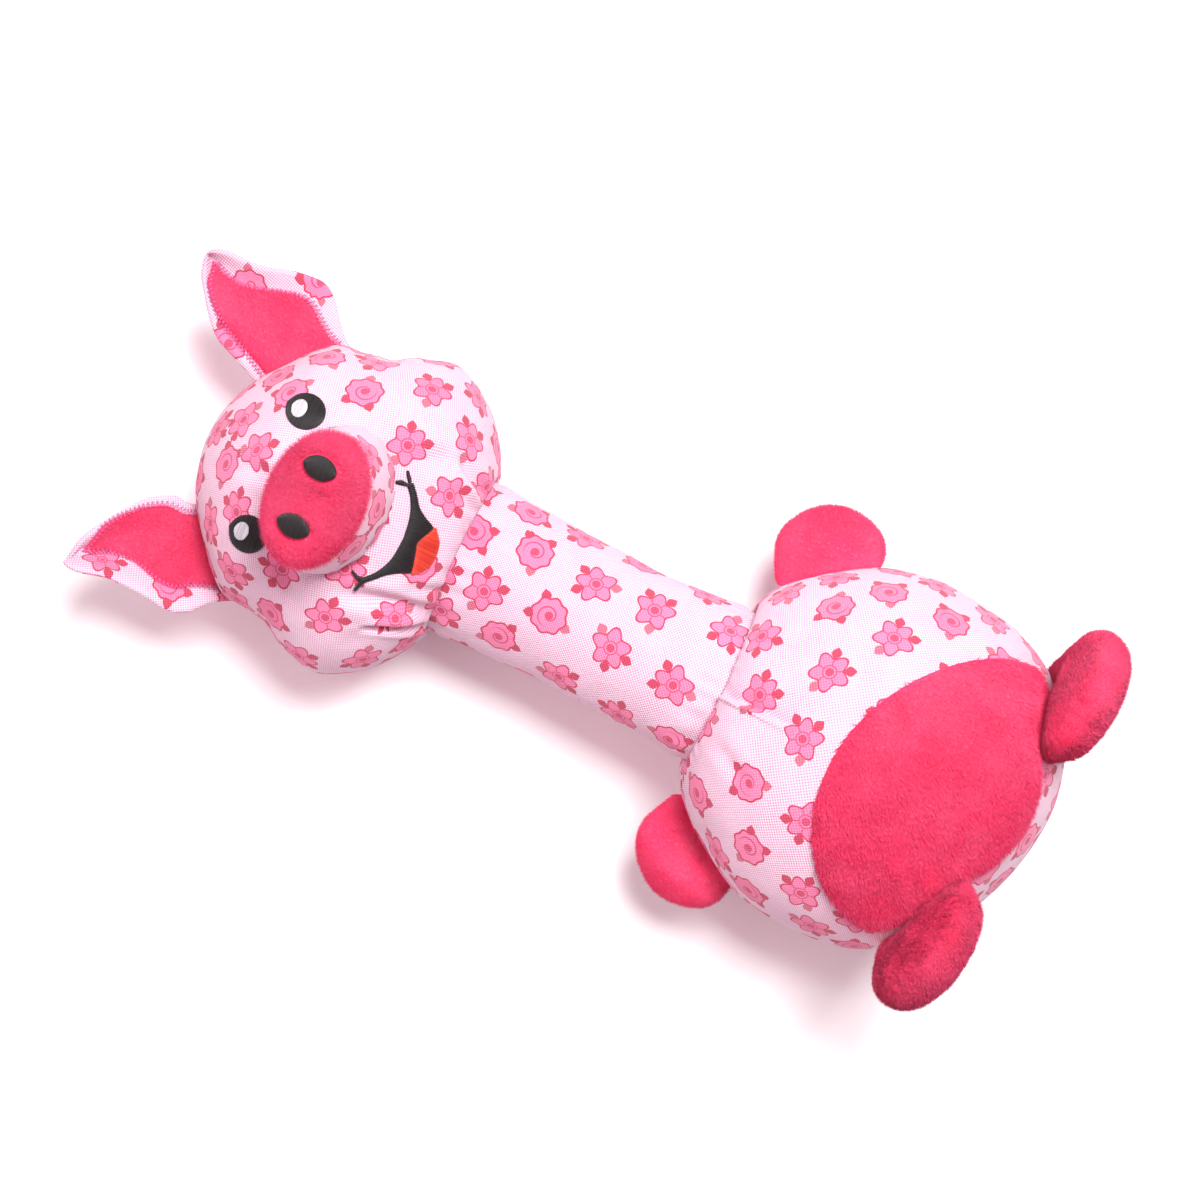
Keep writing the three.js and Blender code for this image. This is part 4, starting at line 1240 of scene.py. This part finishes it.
def satin(name, place, left_edge, right_edge, material, swell_height=0.55 * mm):
    """Fills the space between two edges with threads. place lays plan points on a surface."""
    count = max(int(lengths_along(left_edge)[-1] / stitch_pitch), 2)

    def resampled(edge):
        length = lengths_along(edge)
        return sampled(edge, length, np.linspace(0, length[-1], count))[:, None]

    share = np.linspace(0, 1, 9)
    plan = resampled(left_edge) * (1 - share[:, None]) + resampled(right_edge) * share[:, None]
    lift = satin_ground + (swell_height - satin_ground) * np.sin(share * math.pi) ** 0.5
    random = np.random.default_rng(len(name))
    rows = [place(*row.T, 0.0, lift + random.uniform(-stitch_jitter, stitch_jitter)) for row in plan]
    below = place(plan[..., 0], plan[..., 1], 0.0, np.full(plan.shape[:2], 0.02 * mm))
    top = place(plan[..., 0], plan[..., 1], 0.0, np.broadcast_to(lift - 0.12 * mm, plan.shape[:2]))
    base = slab(name, top, below, material)
    return joined(base, threads(name + "_threads", rows, stitch_thickness, material))


def on_face(x, y, lift, raised):
    """Lays face embroidery on the face cover. Each point has its own height over the cloth."""
    flat = face_surface.over(x, y, lift)
    high = face_surface.over(x, y, lift + 1 * mm)
    return flat + (high - flat) / mm * np.asarray(raised)[..., None]


def on_nose(x, y, lift, raised):
    """Lays nostrils on the nose pad, above most of its pile."""
    ring = np.hypot(2 * x / snout_top[0], 2 * y / snout_top[1])
    return on_snout(x, y, pad_height(ring) + lift + nostril_lift + raised)


def oval_edges(centre, length, width, roundness=2.0):
    """Two edges of an oval, from its top to its bottom along X, for threads that cross it."""
    t = np.linspace(0.02, math.pi - 0.02, 40)
    x = -np.cos(t) * length / 2
    y = np.sin(t) ** (2 / roundness) * width / 2
    return centre + np.stack([x, -y], -1), centre + np.stack([x, y], -1)


eye_length, eye_width = 12.5 * mm, 11.8 * mm
eye_spacing, eye_offset = 43 * mm, -16.6 * mm
glint_length, glint_width, glint_offset = 4.3 * mm, 5.8 * mm, -1.9 * mm
glint_lift = 0.85 * mm
nostril_roundness, nostril_lift = 1.55, 1.3 * mm

for side, label in ((1, "left"), (-1, "right")):
    centre = np.array([head_at[0] + eye_offset, head_at[1] + face_drift + side * eye_spacing / 2])
    outline = oval_edges(centre, eye_length, eye_width)
    eye = satin(f"{label}_eye_satin", on_face, *outline, black_thread, 0.9 * mm)
    sewn(eye, "toy", "black_thread", f"{label}_eye")
    spot = centre + np.array([glint_offset, -side * 0.3 * mm])
    glint = satin(
        f"{label}_eye_glint_satin", lambda x, y, lift, raised: on_face(x, y, lift + glint_lift, raised),
        *oval_edges(spot, glint_length, glint_width), white_thread)
    sewn(glint, "toy", "white_thread", f"{label}_eye_glint")
    hole = np.array([nostril_offset, side * nostril_spacing / 2])
    outline = oval_edges(hole, nostril_length, nostril_width, nostril_roundness)
    nostril = satin(f"{label}_nostril_satin", on_nose, *outline, black_thread, 0.9 * mm)
    sewn(nostril, "toy", "black_thread", f"{label}_nostril")

# %% [markdown]
# ## The mouth
# The smile is a line of thread with forked corners, wide in the middle where the mouth is open. The tongue
# lies against its lower edge.

# %% Mouth
smile_rows = [
    (22.8, 12.9, 24.3, 14.2), (25.0, 10.3, 26.8, 11.4), (26.6, 7.4, 29.4, 8.0), (27.6, 4.6, 32.5, 5.9),
    (28.2, 2.0, 35.9, 3.9), (28.5, 0.0, 34.2, 0.4), (28.8, -2.6, 33.3, -2.6), (28.7, -5.6, 34.1, -5.6),
    (28.5, -8.6, 34.9, -9.0), (28.1, -10.8, 35.4, -11.8), (27.6, -12.3, 32.0, -13.6),
    (26.7, -14.4, 28.6, -16.0), (25.0, -17.2, 26.4, -18.4), (22.2, -20.2, 23.4, -21.2),
]
tongue_rows = [
    (36.0, 4.1, 36.6, 4.3), (34.5, 0.6, 39.2, 1.0), (33.5, -2.6, 40.1, -2.5), (34.3, -5.6, 40.1, -6.0),
    (35.1, -9.0, 38.9, -9.2), (35.6, -11.9, 36.4, -12.0),
]
fork_rows = [
    [(23.9, 12.6, 23.3, 14.6), (21.9, 15.0, 22.8, 15.4), (20.9, 16.6, 21.4, 16.9)],
    [(24.2, 13.0, 22.6, 12.6), (21.0, 13.5, 21.2, 12.1), (19.2, 12.6, 19.5, 11.8)],
    [(23.4, -19.8, 22.4, -21.2), (21.0, -19.8, 21.0, -20.9), (18.9, -19.0, 19.1, -19.9)],
    [(22.2, -20.0, 23.8, -20.6), (22.0, -22.1, 23.0, -22.1), (21.4, -23.9, 22.1, -24.1)],
]


def stitched_rows(name, rows, material, raised):
    """Satin stitch between two edges. Each row holds a point of one edge and the point across from it."""
    rows = np.array(rows) * mm
    share = np.linspace(0, 1, len(rows))
    fine = np.linspace(0, 1, 12 * len(rows))
    smoothed = np.stack([curve(list(zip(share, column)), fine) for column in rows.T], -1)
    edges = smoothed[:, :2] + head_at[:2], smoothed[:, 2:] + head_at[:2]
    return satin(name, on_face, *edges, material, raised)


smile = stitched_rows("mouth_satin", smile_rows, black_thread, 0.8 * mm)
forks = [stitched_rows("mouth_fork", rows, black_thread, 0.7 * mm) for rows in fork_rows]
sewn(joined(smile, *forks), "toy", "black_thread", "mouth")
tongue = stitched_rows("tongue_satin", tongue_rows, red_thread, 0.85 * mm)
sewn(tongue, "toy", "red_thread", "tongue")

# %% [markdown]
# ## Ears
# An ear is two layers of canvas, turned and cupped, with a plush lining sewn on its front by a zigzag. It
# bends along the head's side seam.

# %% Ears
ear_length, ear_width, ear_cup, ear_rise = 45.2 * mm, 39 * mm, 4.5 * mm, 9 * mm
ear_edges = {
    "left": (
        [(0, 0.5), (0.1, 0.6), (0.217, 0.645), (0.352, 0.571), (0.506, 0.466), (0.671, 0.307), (0.873, 0.19),
         (1, 0.13)],
        [(0, 0.38), (0.2, 0.4), (0.36, 0.401), (0.527, 0.391), (0.71, 0.293), (0.87, 0.169), (1, 0.06)]),
    "right": (
        [(0, 0.46), (0.128, 0.554), (0.177, 0.595), (0.238, 0.56), (0.318, 0.48), (0.453, 0.381),
         (0.594, 0.304), (0.715, 0.25), (0.869, 0.224), (1, 0.2)],
        [(0, 0.42), (0.205, 0.49), (0.371, 0.466), (0.48, 0.432), (0.588, 0.359), (0.712, 0.264),
         (0.877, 0.101), (1, -0.06)]),
}
lining_edges = {
    "left": (
        [(0, 0.4), (0.12, 0.43), (0.27, 0.41), (0.4, 0.345), (0.57, 0.19), (0.7, 0.06), (0.83, 0.01),
         (0.955, 0.0)],
        [(0, 0.27), (0.2, 0.295), (0.371, 0.3), (0.644, 0.274), (0.871, 0.16), (0.955, 0.02)]),
    "right": (
        [(0, 0.31), (0.1, 0.34), (0.237, 0.335), (0.317, 0.31), (0.407, 0.259), (0.484, 0.188), (0.562, 0.11),
         (0.666, 0.045), (0.777, 0.01), (0.897, 0.045)],
        [(0, 0.33), (0.19, 0.363), (0.346, 0.394), (0.467, 0.38), (0.594, 0.328), (0.72, 0.259),
         (0.798, 0.183), (0.897, 0.02)]),
}
ear_base = (0.16, 0.39)
ear_rounding = 0.12
ear_reach = unit(np.array([-0.925, 0.38, 0.0]))
ear_outward = np.array([ear_reach[1], -ear_reach[0], 0.0])
ear_wall = 1.45 * mm
ear_puff, lining_rise = 0.5 * mm, 0.7 * mm
zigzag_pitch, zigzag_swing, zigzag_teeth = 1.5 * mm, 0.9 * mm, (2.6, 0.3)
zigzag_lift, zigzag_drop, zigzag_thickness = 2.0 * mm, 1.7 * mm, 0.75 * mm
ear_foot = -0.6 * mm
ear_print = {"left": (-3.5, -7.7), "right": (6.0, 3.0)}


class Ear:
    def __init__(self, side, label, curl):
        self.side = side
        self.curl = curl
        self.outer, self.inner = ear_edges[label]
        self.tip = (self.outer[-1][1] - self.inner[-1][1]) / 2
        self.root = head.raw(np.array(sum(ear_base) / 2 * math.pi), np.array(0.0)) - head_at

    def sheet(self, v, w):
        """The middle surface: v runs from base to tip, and w from the inner to the outer edge."""
        turn = (ear_base[0] + (ear_base[1] - ear_base[0]) * (1 + w) / 2) * math.pi
        seat = head.raw(turn, np.zeros_like(turn)) - head_at + v[..., None] * ear_length * ear_reach
        share = np.where(w > 0, curve(self.outer, v), curve(self.inner, v)) * w
        rounded = np.sqrt(np.clip(1 - (np.maximum(v - (1 - ear_rounding), 0) / ear_rounding) ** 2, 0, 1))
        share = self.tip + (share - self.tip) * rounded
        free = self.root + v[..., None] * ear_length * ear_reach + share[..., None] * ear_width * ear_outward
        settled = smooth(0, 0.35, v)[..., None]
        point = seat * (1 - settled) + free * settled
        cupped = np.sin(np.minimum(2 * v, 1) * math.pi / 2)
        point[..., 2] = ear_rise * v**2 + ear_cup * (w**2 - 0.3) * cupped
        point[..., 2] += self.curl * cupped * smooth(0.2, 1.0, w) ** 1.5
        return point

    def place(self, v, w, lift):
        step = 0.01
        low = v + ear_foot / ear_length * (1 - v)
        along = self.sheet(low + step, w) - self.sheet(low - step, w)
        across = self.sheet(low, w + step) - self.sheet(low, w - step)
        point = self.sheet(low, w) + unit(np.cross(across, along)) * np.asarray(lift)[..., None]
        return point * np.array([1, self.side, 1]) + head_at

    def flatten(self, points):
        local = (points - head_at) * np.array([1, self.side, 1]) - self.root
        return np.stack([local @ ear_reach, local @ ear_outward], -1) / mm


def lining_place(ear, label, v, w):
    """The place on the ear of a place on its lining, whose v and w run as the ear's do."""
    outer, inner = lining_edges[label]
    up = v * outer[-1][0]
    high, low = curve(outer, up), -curve(inner, up)
    share = (high + low) / 2 + w * (high - low) / 2
    return up, share / np.where(share > 0, curve(ear.outer, up), curve(ear.inner, up))


tip_rows = 1 - ear_rounding + ear_rounding * np.sin(np.linspace(0, math.pi / 2, 14))
rows_to_tip = np.append(np.linspace(0, 1 - ear_rounding, 48), tip_rows[1:])
run = np.linspace(0.02, 1, 80)
round_v, round_w = np.append(run, run[::-1]), np.repeat([-1.0, 1.0], len(run))
for side, label, curl in ((1, "left", 1.0 * mm), (-1, "right", 5.0 * mm)):
    ear = Ear(side, label, curl)
    name = f"{label}_ear"
    hinge = unit(np.array(hinges[name]["axis"]))
    centre = ear.place(np.full(1, 0.5), np.zeros(1), 0.0)[0] - hinges[name]["pos_m"]
    away = unit(centre - (centre @ hinge) * hinge)
    v, w = np.meshgrid(rows_to_tip, np.linspace(-1, 1, 44), indexing="ij")
    edge = np.sqrt(np.maximum(1 - np.abs(w) ** 7, 0)) * np.sqrt(np.maximum(1 - (v * 0.999) ** 16, 0))
    puff = ear_wall * (0.25 + 0.75 * edge) + ear_puff * edge * np.sin(v * math.pi) * (1 - w**2)
    for sign, part in ((1, "front"), (-1, "back")):
        inner = ear.place(v, w, sign * 0.08 * mm)
        cloth = slab(f"{name}_{part}_cover", ear.place(v, w, sign * puff), inner, canvas_cloth)
        print_cloth(cloth, ear.flatten, 17 + sign + 3 * side, 0.9 * side, ear_print[label])
        sewn(cloth, name, "printed_canvas", f"{name}_{part}", away=away)
    v, w = np.meshgrid(np.linspace(0, 1, 44), np.linspace(-1, 1, 30), indexing="ij")
    place = lining_place(ear, label, v, w)
    edge = np.sqrt(np.maximum(1 - np.abs(w) ** 6, 0)) * np.sqrt(np.maximum(1 - v**14, 0))
    outer = ear.place(*place, ear_wall + 0.55 * mm + lining_rise * edge)
    lining = slab(f"{name}_lining_plush", outer, ear.place(*place, ear_wall + 0.3 * mm), plush_pile)
    lay = (ear_reach * 0.5 + ear_outward * 0.4) * np.array([1, side, 1])
    grow_pile(lining, lay, ear.flatten, 1.6 * mm, lean=1.5, seed=21 + side)
    place = lining_place(ear, label, round_v, round_w)
    line = ear.place(*place, ear_wall)
    length = lengths_along(line)
    at = np.arange(0, length[-1], zigzag_pitch / 2)
    swing = np.where(np.arange(len(at)) % 2 == 0, *zigzag_teeth) * zigzag_swing
    sideways = np.gradient(line[:, :2], axis=0)
    sideways = unit(np.stack([sideways[:, 1], -sideways[:, 0], 0 * length], -1)) * -side
    lifted = ear.place(*place, ear_wall + zigzag_lift)
    spot, out = sampled(lifted, length, at), sampled(sideways, length, at)
    zigzag = spot + out * swing[:, None] - np.outer(swing > zigzag_swing, [0, 0, zigzag_drop])
    stitch = threads(f"{name}_zigzag", [zigzag], zigzag_thickness, pink_thread)
    sewn(joined(lining, stitch), name, "pink_plush", f"{name}_lining", away=away)

# %% [markdown]
# ## Belly patch
# The patch is short plush, sewn on the belly and tucked under the legs. Its edge is turned, and the pile
# stands a little over it.

# %% Belly
belly_length, belly_width, belly_offset, belly_skew = 64 * mm, 96 * mm, 12 * mm, 7 * mm
belly_corner, belly_slump = 0.2, 0.15
patch_lift = 0.25 * mm
patch_lump_size, patch_lump_height = 11 * mm, 0.7 * mm
patch_folds = [
    ((bx + 33, by - 36), (bx + 22, by - 17), 1.0, 2.6),
    ((bx + 27, by - 38), (bx + 13, by - 22), 0.7, 2.4),
    ((bx + 38, by - 27), (bx + 33, by - 10), 1.0, 2.4),
]


def belly_outline(ring, angle):
    corner = np.where(np.cos(angle) > 0, belly_corner * np.sin(2 * angle) ** 2, 0)
    reach = ring * (1 - corner)
    x = belly_offset + reach * (belly_length / 2 * np.cos(angle) + belly_skew * np.sin(angle) ** 2)
    y = reach * belly_width / 2 * np.sin(angle)
    return body_at[0] + x + belly_slump * y, body_at[1] + y


ring, angle = np.meshgrid(np.linspace(0, 1, 46) ** 0.9, full_turn(144), indexing="ij")
plan_x, plan_y = belly_outline(ring, angle)
edge = np.sqrt(np.maximum(1 - ring**14, 0))
flat = body_surface.over(plan_x, plan_y, patch_lift)
raised = (body_surface.over(plan_x, plan_y, patch_lift + 1 * mm) - flat) / mm
puff = (0.5 + 1.1 * edge) * mm
rows = flat.reshape(-1, 3)
dimples = lumps(rows, patch_lump_size, patch_lump_height) + fold_relief(rows, patch_folds)
dimples = dimples.reshape(ring.shape)
top = flat + raised * (puff + dimples * edge)[..., None]
belly_plush = slab("belly_plush", top, flat, plush_pile, wrap=True)
grow_pile(
    belly_plush, np.array([0.55, -0.45, 0.0]), plan_map, 2.6 * mm, lean=1.7, seed=31,
    thickness=0.38 * mm, thin=0.48)
sewn(belly_plush, "toy", "pink_plush", "belly_patch", fill=0.7)

# %% [markdown]
# ## Arms and legs
# A limb is two plush panels, stuffed like a paddle and pinched thin where it is sewn to the body. Its seam
# runs round the rim, where the pile parts.

# %% Limbs
limb_seam = 2.6 * mm
limb_thickness = 17 * mm
limb_widest = {"arm": 0.3, "leg": 0.42}
limb_swell, limb_roundness, limb_tuck = 0.55, 2.4, 1.8 * mm
base_roundness, base_narrow, tip_narrow = 7.0, 0.03, 0.2
limb_groove, limb_gather = 1.0 * mm, 0.35 * mm
inside_body = 25 * mm
limb_sizes = {"arm": (22.5 * mm, 37 * mm), "leg": (35 * mm, 45 * mm)}


class Limb:
    def __init__(self, label, kind):
        self.length, self.width = limb_sizes[kind]
        self.widest = limb_widest[kind] * self.length
        self.foot = limb_seam + limb_tuck
        joint = hinges[label]
        self.origin = np.array(joint["pos_m"])
        self.across = unit(np.array(joint["axis"]))
        nodes = [frame["nodes"][f"{label}_{part}"].data for part in ("front", "back")]
        front, rear = (coordinates(mesh).mean(0) for mesh in nodes)
        reach = (front + rear) / 2 - self.origin
        self.reach = unit(reach - (reach @ self.across) * self.across)
        self.through = np.cross(self.reach, self.across)
        self.front_side = 1 if (front - rear) @ self.through > 0 else -1
        self.offsets = np.linspace(-0.5, 0.5, 41) * self.width
        inside = self.origin - self.reach * inside_body
        hits = [body_surface.along(inside + b * self.across, self.reach) for b in self.offsets]
        depth = np.array([0 if hit is None else (hit - self.origin) @ self.reach for hit in hits])
        self.depths = depth - depth[20]

    def shell(self, half, rings, sides):
        """One half of the limb. A row of the grid runs round it, from its middle out to its rim."""
        ring, angle = np.meshgrid(
            np.sin(np.linspace(0, 1, rings) * math.pi / 2), full_turn(sides), indexing="ij")
        tipward = np.cos(angle) >= 0
        exponent = np.where(tipward, 1, 2 / base_roundness)
        reach_out = np.where(tipward, self.length - self.widest, self.widest + self.foot)
        a = reach_out * power(np.cos(angle), exponent)
        b = self.width / 2 * power(np.sin(angle), exponent)
        rim = np.hypot(a, b)
        from_rim = (1 - ring) * rim
        shrink = 1 - bell(from_rim, 2.2 * mm) * limb_groove / rim
        gather = ripple(angle, 31, 5) * bell(from_rim, 3 * mm, 2.5 * mm) * limb_gather
        a, b = a * ring * shrink, b * ring * shrink
        to_base = np.maximum(-a / (self.widest + self.foot), 0)
        b = b * (1 - base_narrow * to_base) * (1 - tip_narrow * smooth(0, self.length, a))
        swell_share = smooth(0, limb_swell * self.length, a + self.widest + limb_seam)
        height = limb_seam + (limb_thickness / 2 - limb_seam) * swell_share
        c = height * np.sqrt(np.maximum(1 - ring**limb_roundness, 0)) + gather * swell_share
        hug = np.interp(b, self.offsets, self.depths) * to_base
        c = half * (np.maximum(c, 0) + 0.08 * mm)
        local = np.stack([a + self.widest + hug, b, c], -1)
        return self.origin + local @ np.stack([self.reach, self.across, self.through])

    def flatten(self, points):
        local = points - self.origin
        return np.stack([local @ self.reach, local @ self.across], -1) / mm


seed = 41
for side, label in ((1, "left"), (-1, "right")):
    for kind in ("arm", "leg"):
        name = f"{label}_{kind}"
        limb = Limb(name, kind)
        for sign, part in ((1, "front"), (-1, "back")):
            half = sign * limb.front_side
            outer = limb.shell(half, 34, 120)
            middle_plane = outer + ((limb.origin - outer) @ limb.through)[..., None] * limb.through
            inner = middle_plane + limb.through * half * 0.05 * mm
            panel = slab(f"{name}_{part}_plush", outer, inner, plush_pile, wrap=True)
            lay = limb.reach * 0.9 + np.array([0, 0, -0.15])
            grow_pile(panel, lay, limb.flatten, 2.5 * mm, lean=1.6, seed=seed)
            seed += 1
            nodes = [f"{name}_{part}"] + ([f"{name}_stuffing"] if part == "front" else [])
            sewn(panel, name, "pink_plush", *nodes, fill=0.8, away=limb.reach)

# %% [markdown]
# ## What each cover stands for
# A cover also stands for the stuffing under it, which never shows.

for piece, *nodes in (
        (face, "head_front_panel", "head_stuffing"), (nape, "head_back_panel"),
        (belly, "body_front_panel", "body_stuffing"), (back, "body_back_panel"),
        (neck, "neck_tube", "neck_stuffing"), (snout, "snout_band", "snout_stuffing")):
    sewn(piece, "toy", "printed_canvas", *nodes, fill=0.8)
sewn(nose, "toy", "pink_plush", "nose_pad", fill=0.8)

# %% [markdown]
# ## Floor and light
# The studio is plain: a pale floor, one soft lamp from the upper right of the picture and a rosy fill and
# room, which give the shadows their pink. Straight at the camera the floor returns a little more light than
# paper does, so that it reads as white while it keeps the shadow.

# %% Studio
floor_half = 3.0
floor_extra = 0.1
floor_white = (0.95, 0.95, 0.95, 1.0)
room_colour = (1.0, 0.72, 0.79, 1.0)
room_strength = 0.34


def paper(tree):
    return {"Base Color": floor_white, "Roughness": 0.9, "Specular IOR Level": 0.0}


def make_floor():
    points = np.array([(-1, -1, 0), (1, -1, 0), (1, 1, 0), (-1, 1, 0)]) * floor_half
    floor = add_object("floor", points, [(0, 1, 2, 3)], new_material("paper", paper))
    tree = Tree(floor.data.materials[0].node_tree)
    made = {node.type: node for node in tree.tree.nodes}
    shader, output = Field(tree, made["BSDF_PRINCIPLED"].outputs[0]), made["OUTPUT_MATERIAL"]
    path = tree.node("ShaderNodeLightPath")
    seen = Field(tree, path.outputs["Is Camera Ray"]).max(Field(tree, path.outputs["Is Glossy Ray"]))
    bright = tree.field("ShaderNodeBsdfDiffuse", values={"Color": (1, 1, 1, 1)})
    extra = tree.field("ShaderNodeAddShader", values={0: shader, 1: bright})
    both = tree.field("ShaderNodeMixShader", values={0: seen * floor_extra, 1: shader, 2: extra})
    tree.tree.links.new(both.socket, output.inputs["Surface"])


def lamp(name, direction, distance, size, strength, colour):
    """A square soft lamp that looks at the toy from a direction."""
    light = bpy.data.lights.new(name, "AREA")
    light.shape = "SQUARE"
    light.size = size
    light.energy = strength
    light.color = colour
    made = placed(name, light)
    away = Vector(direction).normalized()
    made.location = away * distance
    made.rotation_euler = (-away).to_track_quat("-Z", "Y").to_euler()


make_floor()
picture_right = Vector((math.cos(camera_turn), math.sin(camera_turn), 0))
picture_up = Vector((-math.sin(camera_turn), math.cos(camera_turn), 0))
key_direction = picture_right * 0.3 + picture_up * 0.42 + Vector((0, 0, 1.35))
fill_direction = -picture_right * 0.9 + picture_up * 0.1 + Vector((0, 0, 1.1))
lamp("key", key_direction, distance=1.6, size=0.55, strength=33.5, colour=(0.96, 1.0, 0.985))
lamp("fill", fill_direction, distance=1.8, size=1.4, strength=12.0, colour=(1.0, 0.8, 0.86))
world = bpy.data.worlds.new("room")
bpy.context.scene.world = world
world.use_nodes = True
room = world.node_tree.nodes["Background"]
room.inputs["Color"].default_value = room_colour
room.inputs["Strength"].default_value = room_strength
bpy.context.scene.view_settings.view_transform = "Standard"

# %% [markdown]
# ## Measures
# The last cell prints what was made.

# %% Finish
print(measured)
